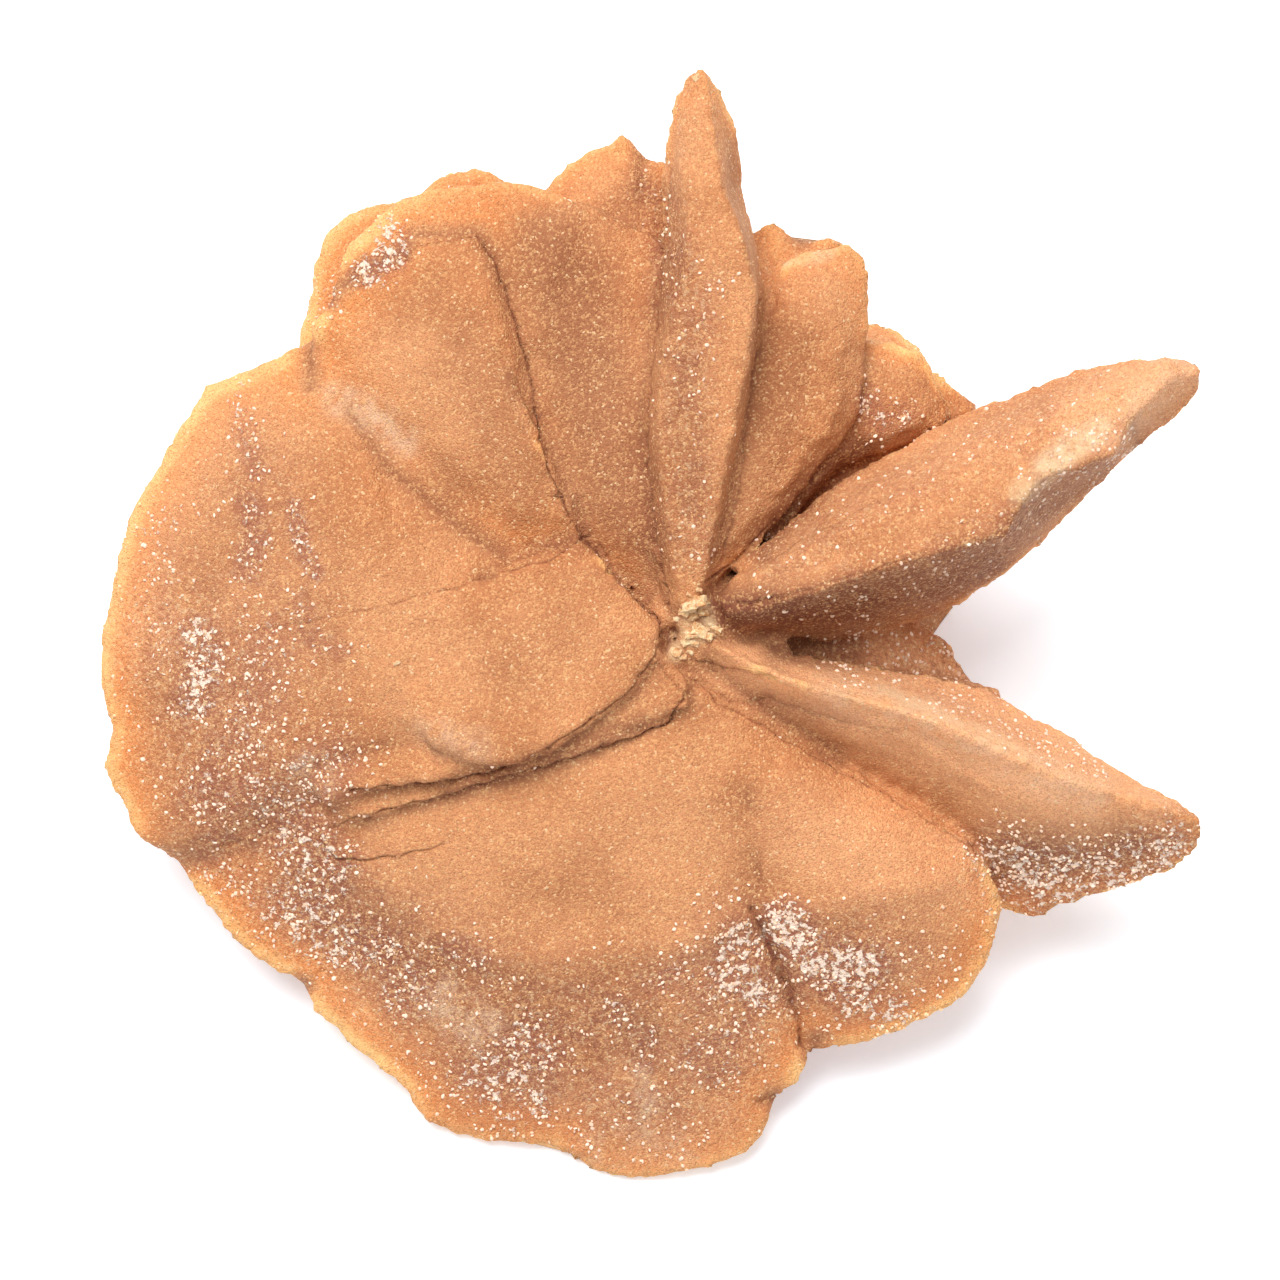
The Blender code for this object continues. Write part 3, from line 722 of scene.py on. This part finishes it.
@dataclass(frozen=True)
class GypsumFinish:
    """Sand-filled gypsum: brown orange and speckled with its grains, with rims that let light through."""

    brown: Colour = linear(188, 124, 80)
    orange: Colour = linear(213, 149, 102)
    # Painted warm glow where light shines through the thin edges.
    thin_edge_glow: Colour = linear(240, 150, 82)
    # Painted glow of light shining through the thin rims.
    painted_rim_light: Colour = linear(254, 200, 132)
    painted_shade: Colour = linear(122, 66, 42)
    sunlit: Colour = linear(254, 186, 136)
    # Painted shade in the valleys, creases and cracks, and the dark grit of rough ground.
    shade_and_grit: Colour = linear(112, 50, 28)
    mauve: Colour = linear(160, 98, 76)
    cream: Colour = linear(240, 210, 165)
    white: Colour = linear(250, 226, 206)
    pale: Colour = linear(226, 190, 158)
    light_grain: Colour = linear(246, 196, 134)
    dark_grain: Colour = linear(140, 80, 44)
    grain: float = 0.15
    through: float = 0.1

    def material(self) -> bpy.types.Material:
        """Builds the material of the skin.

        Returns:
            The material.
        """
        bench = StoneBench("sand_gypsum_skin")
        middle, grain = bench.cells(self.grain)
        fine_middle, fine_grain = bench.cells(self.grain * 0.6)
        clouds = bench.noise(9.0, 3.0)
        mottle = bench.noise(1.6, 4.0, 0.6)
        flakes = bench.noise(0.55, 3.0, 0.65)
        grit = bench.noise(0.4, 3.0, 0.7)
        painted_rim_light = bench.painted("painted_rim_light")
        rough = bench.painted("rough")
        frost = bench.painted("frost")
        colour = bench.mix(clouds.rise(0.35, 0.65), self.brown, self.orange)
        # Mauve tint of rough ground, partly the stone's own colour and partly painted shade on shaded faces.
        colour = bench.mix(rough * mottle.rise(0.3, 0.7) * 0.7, colour, self.mauve)
        colour = bench.mix(frost.rise(0.1, 0.8) * 0.8, colour, self.mauve)
        # Painted warm glow where light shines through the thin edges.
        colour = bench.mix(bench.painted("thin_edge_glow") * 0.85, colour, self.thin_edge_glow)
        colour = bench.mix(bench.painted("sunlit") * (0.55 + mottle * 0.6), colour, self.sunlit)
        # Painted shade on faces turned from the light and in nooks between blades.
        colour = bench.mix(bench.painted("painted_shade") * (0.7 + mottle * 0.5), colour, self.painted_shade)
        glow = (clouds.rise(0.3, 0.7) * 0.45 + mottle * 0.95).shared()
        # Painted glow of light shining through the thin rims.
        colour = bench.mix(painted_rim_light.rise(0.2, 0.9) * glow, colour, self.painted_rim_light)
        # Painted shade darkens the valleys between blades and the creases.
        colour = bench.mix((bench.painted("shade_and_grit") * 0.85).shared(), colour, self.shade_and_grit)
        colour = bench.mix(bench.painted("pale") * mottle.rise(0.25, 0.7), colour, self.pale)
        colour = bench.mix(rough * grit.rise(0.52, 0.66) * 0.45, colour, self.cream)
        # Dark grit specks of the rough ground, the stone's own colour.
        colour = bench.mix(rough * grit.rise(0.48, 0.34) * 0.4, colour, self.shade_and_grit)
        colour = bench.mix(grain.rise(0.5, 1.0) * 0.42, colour, self.light_grain)
        colour = bench.mix(fine_grain.rise(0.55, 0.0) * 0.4, colour, self.dark_grain)
        colour = bench.mix(grain.rise(0.975, 0.99) * 0.5, colour, self.cream)
        crust = (flakes * 0.8 + mottle * 0.2 + frost * 0.26).rise(0.72, 0.8) * frost.rise(0.02, 0.3)
        colour = bench.mix(crust * 0.9, colour, self.white)
        colour = bench.mix(bench.painted("cream") * mottle.rise(0.2, 0.6), colour, self.cream)
        # Painted shade inside the cracks and under their steps.
        colour = bench.mix(bench.painted("crack_shade"), colour, self.shade_and_grit)
        height = (0.9 - middle) * 0.6 + (0.9 - fine_middle) * 0.4 + flakes * 0.6 + crust * 0.8 + grit * rough
        gloss = 0.8 - grain.rise(0.9, 1.0) * 0.45
        return bench.finish(
            Base_Color=colour, Roughness=gloss, Normal=bench.bump(height, 0.15, 0.8),
            Subsurface_Weight=self.through, Subsurface_Radius=(1.8, 0.7, 0.25), Subsurface_Scale=MM, IOR=1.52,
        )


@dataclass(frozen=True)
class GrainFinish:
    """Loose grains, each a little lighter or darker than the next."""

    name: str
    light: Colour
    dark: Colour
    roughness: float

    def material(self) -> bpy.types.Material:
        """Builds the material of the grains.

        Returns:
            The material.
        """
        bench = StoneBench(self.name)
        tint = bench.painted("tint")
        clouds = bench.noise(4.0)
        colour = bench.mix((tint * 0.7 + clouds * 0.6 - 0.15).shared(), self.dark, self.light)
        # Grains on the rims take the painted rim glow as well.
        glow = bench.mix(bench.painted("painted_rim_light").rise(0.2, 1.0) * 0.7, colour, GypsumFinish.painted_rim_light)
        return bench.finish(Base_Color=glow, Roughness=self.roughness + tint * 0.15, IOR=1.52)


@dataclass(frozen=True)
class ChipFinish:
    """Freshly broken gypsum, cream and sugary."""

    light: Colour = linear(244, 214, 168)
    dark: Colour = linear(206, 142, 88)

    def material(self) -> bpy.types.Material:
        """Builds the material of the chips.

        Returns:
            The material.
        """
        bench = StoneBench("broken_gypsum")
        middle, grain = bench.cells(0.16)
        clouds = bench.noise(0.8, 3.0)
        colour = bench.mix((clouds + grain * 0.4).rise(0.4, 1.0), self.dark, self.light)
        return bench.finish(
            Base_Color=colour, Roughness=0.6 + grain * 0.2, Normal=bench.bump(1 - middle, 0.06, 0.6),
            Subsurface_Weight=0.3, Subsurface_Radius=(1.2, 0.9, 0.6), Subsurface_Scale=MM, IOR=1.52,
        )


@dataclass(frozen=True)
class TableFinish:
    """The clean white top of a light table, which glows a little."""

    white: Colour = linear(240, 249, 255)
    glow: float = 0.32

    def material(self) -> bpy.types.Material:
        """Builds the material of the floor.

        Returns:
            The material.
        """
        bench = StoneBench("white_table")
        cloud = bench.noise(60.0)
        colour = bench.mix(cloud * 0.1, self.white, linear(236, 245, 252))
        return bench.finish(
            Base_Color=colour, Roughness=0.7, Emission_Color=linear(250, 246, 255), Emission_Strength=self.glow
        )


@dataclass(frozen=True)
class Relief:
    """One layer of unevenness: bumps of a size, standing up and down by half the height."""

    name: str
    size: float
    height: float
    depth: int = 2
    group: str = ""

    def press(self, obj: bpy.types.Object) -> None:
        """Presses the layer into a mesh.

        Args:
            obj: The mesh object.
        """
        texture = bpy.data.textures.new(self.name, "CLOUDS")
        texture.noise_scale = self.size * MM
        texture.noise_depth = self.depth
        add_modifier(
            obj, "DISPLACE", texture=texture, texture_coords="LOCAL", strength=self.height * MM, mid_level=0.5,
            vertex_group=self.group,
        )
        bpy.data.textures.remove(texture)


@dataclass
class Skin:
    """The rose's surface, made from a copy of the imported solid."""

    view: View
    voxel: float = 0.3
    sharp: float = math.radians(32)
    sample: float = 0.35
    broad_edge: tuple[float, float] = (0.45, 2.4)
    broad_rounds: int = 110
    small_rounds: int = 1
    triangles: int = 138000
    glow_reach: float = 1.3
    warm_reach: float = 3.4
    step_reach: float = 1.3
    beat: float = 0.28
    spread: float = 1.3
    thin: tuple[float, float] = (4.4, 1.4)
    inset: float = 0.2
    foot: float = 0.22
    grain_free: float = 0.7

    def build(self) -> bpy.types.Object:
        """Makes the skin, cuts its marks and paints it.

        Returns:
            The skin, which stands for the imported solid.
        """
        self.skin = self.copy_of_solid()
        self.outer_edges, self.inner_edges = self.edge_trees()
        self.wear_smooth()
        self.thin_out()
        self.refine_cracks()
        self.cut_marks()
        Relief("sandy", 0.6, 0.06).press(self.skin)
        self.keep_inside()
        self.skin.vertex_groups.clear()
        self.paint_all()
        bpy.ops.object.shade_smooth()
        self.skin.data.materials.clear()
        self.skin.data.materials.append(GypsumFinish().material())
        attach(self.skin, BODY)
        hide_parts(NODE)
        log.info("%s has %d triangles", self.skin.name, len(self.skin.data.polygons))
        return self.skin

    def copy_of_solid(self) -> bpy.types.Object:
        """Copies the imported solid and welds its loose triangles.

        Returns:
            The copy.
        """
        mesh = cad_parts[NODE].data.copy()
        skin = bpy.data.objects.new("stone_skin", mesh)
        bpy.context.scene.collection.objects.link(skin)
        select_only(skin)
        bpy.ops.object.mode_set(mode="EDIT")
        bpy.ops.mesh.select_all(action="SELECT")
        bpy.ops.mesh.remove_doubles(threshold=0.01 * MM)
        bpy.ops.object.mode_set(mode="OBJECT")
        return skin

    def edge_trees(self) -> tuple[KDTree, KDTree]:
        """Samples the solid's sharp edges.

        Returns:
            The points of the edges that stand out, and of those that lie between two blades.
        """
        bm = bmesh.new()
        bm.from_mesh(self.skin.data)
        outer: list[Vector] = []
        inner: list[Vector] = []
        for edge in bm.edges:
            angle = edge.calc_face_angle_signed(0.0)
            if abs(angle) < self.sharp:
                continue
            start, end = (vert.co for vert in edge.verts)
            count = max(1, round((end - start).length / (self.sample * MM)))
            spots = [start.lerp(end, k / count) for k in range(count + 1)]
            (outer if angle > 0 else inner).extend(spots)
        bm.free()
        return self.tree(outer), self.tree(inner)

    @staticmethod
    def tree(spots: list[Vector]) -> KDTree:
        """Makes a tree for finding the nearest of some points."""
        tree = KDTree(len(spots))
        for number, spot in enumerate(spots):
            tree.insert(spot, number)
        tree.balance()
        return tree

    def edge_distances(self) -> tuple[np.ndarray, np.ndarray]:
        """Measures how far each vertex is from the edges.

        Returns:
            The distances from the outer and from the inner edges, in millimetres.
        """
        spots = positions(self.skin).tolist()
        outer = np.array([self.outer_edges.find(spot)[2] for spot in spots]) / MM
        inner = np.array([self.inner_edges.find(spot)[2] for spot in spots]) / MM
        return outer, inner

    def wear_smooth(self) -> None:
        """Remeshes the solid finely, wears its facets away and makes it uneven, but keeps its edges."""
        add_modifier(self.skin, "REMESH", mode="VOXEL", voxel_size=self.voxel * MM)
        outer, inner = self.edge_distances()
        healed = self.patched(HEALED, self.view.pixels(positions(self.skin)))
        broad = np.maximum(smooth_step(*self.broad_edge, np.minimum(outer, inner)), healed)
        weigh(self.skin, "broad", broad)
        weigh(self.skin, "crumbly", smooth_step(1.6, 0.3, outer))
        add_modifier(self.skin, "SMOOTH", factor=0.5, iterations=self.broad_rounds, vertex_group="broad")
        add_modifier(self.skin, "SMOOTH", factor=0.5, iterations=self.small_rounds)
        Relief("waves", 7.0, 0.55, 1, "broad").press(self.skin)
        Relief("lumps", 2.1, 0.22).press(self.skin)
        Relief("crumbling_rim", 1.1, 0.6, 3, "crumbly").press(self.skin)

    def patched(self, patches: tuple[Patch, ...], pixels: np.ndarray) -> np.ndarray:
        """Adds up soft patches.

        Args:
            patches: The patches.
            pixels: Where the vertices show in the photograph.

        Returns:
            The strongest patch's share at each vertex.
        """
        amount = np.zeros(len(pixels))
        for patch in patches:
            away = self.view.line_distance(pixels, patch.line)[0]
            share = smooth_step(self.spread * patch.reach, 0.2 * patch.reach, away)
            amount = np.maximum(amount, share * patch.strength)
        return amount

    def seen(self, spots: np.ndarray, directions: np.ndarray) -> np.ndarray:
        """Finds the vertices that the camera sees.

        Args:
            spots: The vertices in metres.
            directions: Their normals.

        Returns:
            True for each vertex that shows.
        """
        eye = self.view.place() * MM
        tree = BVHTree.FromObject(self.skin, bpy.context.evaluated_depsgraph_get())
        sight = np.array(eye) - spots
        facing = np.einsum("ij,ij->i", sight, directions) > 0
        lift = 0.03 * MM
        result = np.zeros(len(spots), bool)
        for number in np.flatnonzero(facing):
            start = Vector(spots[number] + directions[number] * lift)
            result[number] = tree.ray_cast(start, eye - start)[0] is None
        return result

    def thin_out(self) -> None:
        """Takes triangles away, mostly where the camera doesn't see them."""
        spots, directions = positions(self.skin), normals(self.skin)
        hidden = np.where(self.seen(spots, directions), 0.12, 1.0)
        weigh(self.skin, "spare", hidden)
        count = sum(len(face.vertices) - 2 for face in self.skin.data.polygons)
        add_modifier(
            self.skin, "DECIMATE", ratio=self.triangles / count, vertex_group="spare", use_collapse_triangulate=True
        )

    def refine_cracks(self) -> None:
        """Splits the triangles along the thin cracks, so that they can be cut narrow."""
        pixels = self.view.pixels(positions(self.skin))
        near = np.zeros(len(pixels), bool)
        for crack in CRACKS:
            near |= self.view.line_distance(pixels, crack.line)[0] < 0.35
        near &= self.seen(positions(self.skin), normals(self.skin))
        select_only(self.skin)
        bpy.ops.object.mode_set(mode="EDIT")
        bpy.ops.mesh.select_mode(type="VERT")
        bpy.ops.mesh.select_all(action="DESELECT")
        bpy.ops.object.mode_set(mode="OBJECT")
        self.skin.data.vertices.foreach_set("select", near)
        bpy.ops.object.mode_set(mode="EDIT")
        bpy.ops.mesh.select_mode(type="VERT")
        bpy.ops.mesh.subdivide(number_cuts=2)
        bpy.ops.mesh.select_all(action="SELECT")
        bpy.ops.mesh.quads_convert_to_tris()
        bpy.ops.object.mode_set(mode="OBJECT")

    def broken(self, along: np.ndarray) -> np.ndarray:
        """Breaks a crack up into deeper and shallower bits.

        Args:
            along: How far along the crack each vertex is, in millimetres.

        Returns:
            A share of the crack's depth for each vertex.
        """
        rng = random.Random(len(along))
        bits = [rng.uniform(0.35, 1.0) for _ in range(400)]
        return np.interp(along / self.beat, np.arange(len(bits)), bits)

    def cut_marks(self) -> None:
        """Cuts the cracks and creases into the skin, raises its ridges, and paints the shade in them."""
        spots, directions = positions(self.skin), normals(self.skin)
        seen = self.seen(spots, directions)
        pixels = self.view.pixels(spots)
        wobble = np.stack([np.sin(pixels[:, 1] / 5.3) + np.sin(pixels[:, 1] / 2.1) / 2, np.cos(pixels[:, 0] / 4.7)], 1)
        pixels += wobble * 0.9
        depth = np.zeros(len(spots))
        crack_shade = np.zeros(len(spots))
        shade = np.zeros(len(spots))
        for mark in CRACKS + CREASES + RIDGES:
            away, along, side = self.view.line_distance(pixels, mark.line)
            strength = (mark.ends[0] + (mark.ends[1] - mark.ends[0]) * along) * seen
            profile = np.exp(-((away / mark.width) ** 2)) * strength
            # Cracks keep their painted shade apart; the other marks add theirs to the painted shade of the valleys.
            if mark.fine:
                profile *= self.broken(along * self.view.line_length(mark.line))
                crack_shade = np.maximum(crack_shade, profile * mark.shade)
            else:
                shade = np.maximum(shade, profile * mark.shade)
            tapered = smooth_step(0, 0.08, along) * smooth_step(1, 0.92, along) * strength
            depth += profile * mark.depth - side * np.exp(-away / self.step_reach) * tapered * mark.step / 2
        put_back(self.skin, spots - directions * depth[:, None] * MM)
        paint(self.skin, "crack_shade", crack_shade)
        self.shade = shade

    def keep_inside(self) -> None:
        """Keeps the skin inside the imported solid's box and sets its feet flat on the floor."""
        low, high = (np.array(corner) for corner in CAD_BOX)
        spots = positions(self.skin)
        spots[:, :2] = np.clip(spots[:, :2], low[:2] + self.inset * MM, high[:2] - self.inset * MM)
        spots[:, 2] = np.minimum(spots[:, 2], high[2] - self.inset * MM)
        spots[spots[:, 2] < self.foot * MM, 2] = 0.0
        put_back(self.skin, spots)

    def thickness(self, spots: np.ndarray, directions: np.ndarray) -> np.ndarray:
        """Measures how thick the stone is behind each vertex.

        Args:
            spots: The vertices in metres.
            directions: Their normals.

        Returns:
            The smaller of the way straight in and the way along the camera's axis, in millimetres.
        """
        tree = BVHTree.FromObject(self.skin, bpy.context.evaluated_depsgraph_get())
        back = self.view.axes()[2]
        depth = 0.12 * MM
        most = 6.0
        result = np.full(len(spots), most)
        for number, (spot, direction) in enumerate(zip(spots, directions)):
            inside = Vector(spot - direction * depth)
            ways = [(tree.ray_cast(inside, way)[3] or most * MM) / MM for way in (-Vector(direction), back, -back)]
            result[number] = min(ways[0], ways[1] + ways[2])
        return self.evened(result, 8)

    def evened(self, values: np.ndarray, rounds: int) -> np.ndarray:
        """Evens values out over the skin.

        Args:
            values: A value for each vertex.
            rounds: How often each vertex takes on the mean of its neighbours.

        Returns:
            The evened values.
        """
        ends = np.empty(len(self.skin.data.edges) * 2, np.int32)
        self.skin.data.edges.foreach_get("vertices", ends)
        first, second = ends.reshape(-1, 2).T
        here, there = np.concatenate([first, second]), np.concatenate([second, first])
        shares = np.bincount(here, minlength=len(values))
        for _ in range(rounds):
            values = np.bincount(here, values[there], len(values)) / np.maximum(shares, 1)
        return values

    def paint_all(self) -> None:
        """Stores what the materials need to know about each vertex."""
        spots, directions = positions(self.skin), normals(self.skin)
        pixels = self.view.pixels(spots)
        seen = self.seen(spots, directions)
        outer, inner = self.edge_distances()
        plain = 1 - self.patched(HEALED, pixels)
        open_rim = smooth_step(0.3, 1.6, inner) * plain
        thin = (0.15 + 0.85 * smooth_step(*self.thin, self.thickness(spots, directions))) * open_rim
        # The painted rim glow fades in the listed patches.
        thin *= 1 - self.patched(RIMS_WITHOUT_GLOW, pixels) * seen
        rough = np.where(seen, self.patched(ROUGH_AND_SHADED_GROUND, pixels), 0.5)
        # Painted glow where light shines through the thin rims.
        paint(self.skin, "painted_rim_light", np.exp(-((outer / self.glow_reach) ** 2)) * thin)
        # Painted warm glow along the thin outer edges.
        paint(self.skin, "thin_edge_glow", np.exp(-((outer / self.warm_reach) ** 2)) * thin)
        # Painted shade in the valleys between blades and along the creases.
        paint(self.skin, "shade_and_grit", np.clip(np.exp(-inner / 0.3) * 0.8 * plain + self.shade, 0, 1))
        lifted = (spots[:, 2] > self.grain_free * MM).astype(float)
        paint(self.skin, "lifted", lifted * (self.evened(lifted, 1) == 1))
        paint(self.skin, "rough", rough)
        paint(self.skin, "frost", np.maximum(self.patched(WHITE_GRAINS, pixels) * seen, rough * 0.15))
        paint(self.skin, "pale", self.patched(PALE_SMEARS, pixels) * seen)
        # Painted shade, only where the camera sees the skin.
        paint(self.skin, "painted_shade", self.patched(PAINTED_SHADE, pixels) * seen)
        paint(self.skin, "sunlit", self.patched(SUNLIT, pixels) * seen)
        paint(self.skin, "cream", self.patched(CREAM_PLACES, pixels) * seen)


class Crumb(Enum):
    """The shape of one loose grain."""

    SAND = "sand"
    CRYSTAL = "crystal"


@dataclass
class Grains:
    """Loose grains that stick to the skin, each its own small closed shape, joined in one mesh."""

    name: str
    finish: GrainFinish
    shape: Crumb
    amounts: dict[str, float]
    sizes: tuple[float, float]
    seed: int
    everywhere: float = 0.0

    def template(self) -> bpy.types.Object:
        """Makes one grain, 1 mm across, as the pattern for the others.

        Returns:
            The grain.
        """
        rng = random.Random(self.seed)
        if self.shape is Crumb.SAND:
            bpy.ops.mesh.primitive_uv_sphere_add(segments=4, ring_count=2, radius=MM / 2)
        else:
            bpy.ops.mesh.primitive_ico_sphere_add(subdivisions=1, radius=MM / 2)
        grain = bpy.context.object
        for vert in grain.data.vertices:
            vert.co *= rng.uniform(0.75, 1.15)
        return grain

    def scatter(self, template: bpy.types.Object) -> bpy.types.NodeTree:
        """Builds the node group that turns the skin into grains.

        Args:
            template: The grain that is copied.

        Returns:
            The node group.
        """
        group = bpy.data.node_groups.new(self.name + "_scatter", "GeometryNodeTree")
        for way in ("INPUT", "OUTPUT"):
            group.interface.new_socket("Geometry", in_out=way, socket_type="NodeSocketGeometry")
        bench = Bench(group)
        skin = bench.signal("NodeGroupInput", 0)
        density: Signal | float = self.everywhere
        for name, per_square_mm in self.amounts.items():
            painted = bench.signal(
                "GeometryNodeInputNamedAttribute", "Attribute", settings={"data_type": "FLOAT"}, inputs={"Name": name}
            )
            density = painted * per_square_mm + density
        clumps = bench.signal(
            "ShaderNodeTexNoise", 0, inputs={"Scale": 1 / (1.1 * MM), "Detail": 2.0}
        )
        lifted = bench.signal(
            "GeometryNodeInputNamedAttribute", "Attribute", settings={"data_type": "FLOAT"}, inputs={"Name": "lifted"}
        )
        density = density * clumps.rise(0.36, 0.6) * lifted * MM**-2
        spread = bench.node(
            "GeometryNodeDistributePointsOnFaces", inputs={"Mesh": skin, "Density": density, "Seed": self.seed}
        )
        tint = bench.signal("FunctionNodeRandomValue", 1, settings={"data_type": "FLOAT"}, inputs={8: self.seed + 1})
        tinted = bench.signal(
            "GeometryNodeStoreNamedAttribute", "Geometry", settings={"data_type": "FLOAT", "domain": "POINT"},
            inputs={"Geometry": Signal(bench, spread.outputs["Points"]), "Name": "tint", "Value": tint},
        )
        turn = bench.signal(
            "FunctionNodeRandomValue", 0, settings={"data_type": "FLOAT_VECTOR"},
            inputs={1: (math.tau, math.tau, math.tau), 8: self.seed + 2},
        )
        size = bench.signal(
            "FunctionNodeRandomValue", 0, settings={"data_type": "FLOAT_VECTOR"},
            inputs={0: (self.sizes[0],) * 3, 1: (self.sizes[1],) * 3, 8: self.seed + 3},
        )
        grain = bench.signal("GeometryNodeObjectInfo", "Geometry", inputs={"Object": template})
        placed = bench.signal(
            "GeometryNodeInstanceOnPoints", "Instances",
            inputs={"Points": tinted, "Instance": grain, "Rotation": turn, "Scale": size},
        )
        real = bench.signal("GeometryNodeRealizeInstances", "Geometry", inputs={"Geometry": placed})
        bench.node("NodeGroupOutput", inputs={0: real})
        return group

    def build(self, skin: bpy.types.Object) -> bpy.types.Object:
        """Scatters the grains over the skin.

        Args:
            skin: The finished skin.

        Returns:
            The grains as one object.
        """
        template = self.template()
        grains = bpy.data.objects.new(self.name, skin.data.copy())
        bpy.context.scene.collection.objects.link(grains)
        add_modifier(grains, "NODES", node_group=self.scatter(template))
        bpy.data.objects.remove(template)
        grains.data.materials.clear()
        grains.data.materials.append(self.finish.material())
        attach(grains, BODY)
        log.info("%s has %d triangles", grains.name, len(grains.data.polygons))
        return grains


@dataclass
class Chips:
    """Broken bits of gypsum where the blades meet, and a yellow grain that lies on the petal's edge."""

    view: View
    seed: int = 7

    SPOTS = (
        ((690, 606), 1.0), ((697, 601), 1.1), ((703, 612), 0.9), ((684, 612), 0.7), ((693, 616), 0.8),
        ((706, 602), 0.6), ((677, 619), 0.45), ((690, 595), 0.5), ((699, 590), 0.4), ((700, 631), 1.2),
        ((708, 636), 0.9), ((692, 634), 0.9), ((686, 642), 0.7), ((716, 629), 0.8), ((695, 643), 0.6),
        ((676, 652), 0.8), ((683, 657), 0.5), ((690, 652), 0.5), ((720, 634), 0.4), ((711, 625), 0.5),
        ((397, 663), 0.5), ((390, 655), 0.25), ((546, 888), 0.35), ((1052, 470), 0.4), ((697, 78), 0.5),
        ((666, 232), 0.4),
    )

    def chip(self, place: Vector, size: float, rng: random.Random) -> bpy.types.Object:
        """Makes one angular chip.

        Args:
            place: Its middle in metres.
            size: Its length in millimetres.
            rng: Where its irregularity comes from.

        Returns:
            The chip.
        """
        bpy.ops.object.select_all(action="DESELECT")
        bpy.ops.mesh.primitive_cube_add(size=size * MM, location=place)
        chip = bpy.context.object
        chip.scale = (1.0, rng.uniform(0.4, 0.8), rng.uniform(0.25, 0.45))
        chip.rotation_euler = [rng.uniform(-0.6, 0.6) for _ in range(3)]
        bpy.ops.object.transform_apply(location=True, rotation=True, scale=True)
        bpy.ops.object.mode_set(mode="EDIT")
        bpy.ops.mesh.select_all(action="SELECT")
        bpy.ops.mesh.subdivide(number_cuts=2)
        bpy.ops.object.mode_set(mode="OBJECT")
        for vert in chip.data.vertices:
            vert.co += Vector([rng.uniform(-1, 1) for _ in range(3)]) * size * MM * 0.09
        add_modifier(chip, "BEVEL", width=size * MM * 0.05, segments=1)
        return chip

    def build(self, skin: bpy.types.Object) -> bpy.types.Object:
        """Lays the chips on the skin.

        Args:
            skin: The finished skin.

        Returns:
            The chips as one object.
        """
        rng = random.Random(self.seed)
        tree = BVHTree.FromObject(skin, bpy.context.evaluated_depsgraph_get())
        eye = self.view.place() * MM
        chips = []
        for pixel, size in self.SPOTS:
            hit, direction, _, _ = tree.ray_cast(eye, self.view.line_of_sight(pixel))
            if hit:
                chips.append(self.chip(hit + direction * size * MM * 0.08, size, rng))
        bpy.ops.object.select_all(action="DESELECT")
        for chip in chips:
            chip.select_set(True)
        bpy.context.view_layer.objects.active = chips[0]
        bpy.ops.object.join()
        joined = bpy.context.object
        joined.name = "hub_chips"
        joined.data.materials.clear()
        joined.data.materials.append(ChipFinish().material())
        bpy.ops.object.origin_set(type="ORIGIN_CURSOR")
        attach(joined, BODY)
        log.info("%s holds %d chips", joined.name, len(chips))
        return joined


@dataclass
class Studio:
    """A white table under a soft, even light that comes mostly from the upper left."""

    floor_side: float = 1.6
    sky: float = 0.58
    lamp_power: float = 9.0
    gamma: float = 0.95
    lamp_size: float = 0.6
    lamp_place: tuple[float, float, float] = (-0.15, 0.2, 0.84)

    def build(self) -> None:
        """Adds the floor, the sky and the lamp."""
        bpy.ops.object.select_all(action="DESELECT")
        bpy.ops.mesh.primitive_plane_add(size=self.floor_side)
        floor = bpy.context.object
        floor.name = "white_table"
        floor.data.materials.append(TableFinish().material())
        world = bpy.data.worlds.new("soft_sky")
        world.use_nodes = True
        sky = world.node_tree.nodes["Background"]
        sky.inputs["Color"].default_value = (1.0, 1.0, 1.0, 1.0)
        sky.inputs["Strength"].default_value = self.sky
        bpy.context.scene.world = world
        bpy.ops.object.light_add(type="AREA", location=self.lamp_place)
        lamp = bpy.context.object
        lamp.name = "window_light"
        lamp.data.energy = self.lamp_power
        lamp.data.size = self.lamp_size
        lamp.rotation_euler = (-Vector(self.lamp_place)).to_track_quat("-Z", "Y").to_euler()
        settings = bpy.context.scene.view_settings
        settings.view_transform = "Standard"
        settings.gamma = self.gamma


SAND = GrainFinish("sand_grains", linear(246, 200, 146), linear(204, 140, 92), 0.45)
WHITE = GrainFinish("white_grains", linear(254, 234, 214), linear(228, 186, 154), 0.4)


def main() -> None:
    """Builds the dressed rose, its light and its camera."""
    view = View()
    view.build()
    Studio().build()
    skin = Skin(view).build()
    Grains("frost_grains", WHITE, Crumb.CRYSTAL, {"frost": 6.6}, (0.13, 0.42), 11, 0.0).build(skin)
    Grains("sand_grains", SAND, Crumb.SAND, {"rough": 1.2}, (0.09, 0.19), 23, 0.7).build(skin)
    Chips(view).build(skin)


if __name__ == "__main__":
    logging.basicConfig(level=logging.INFO, format="%(name)s: %(message)s")
    main()
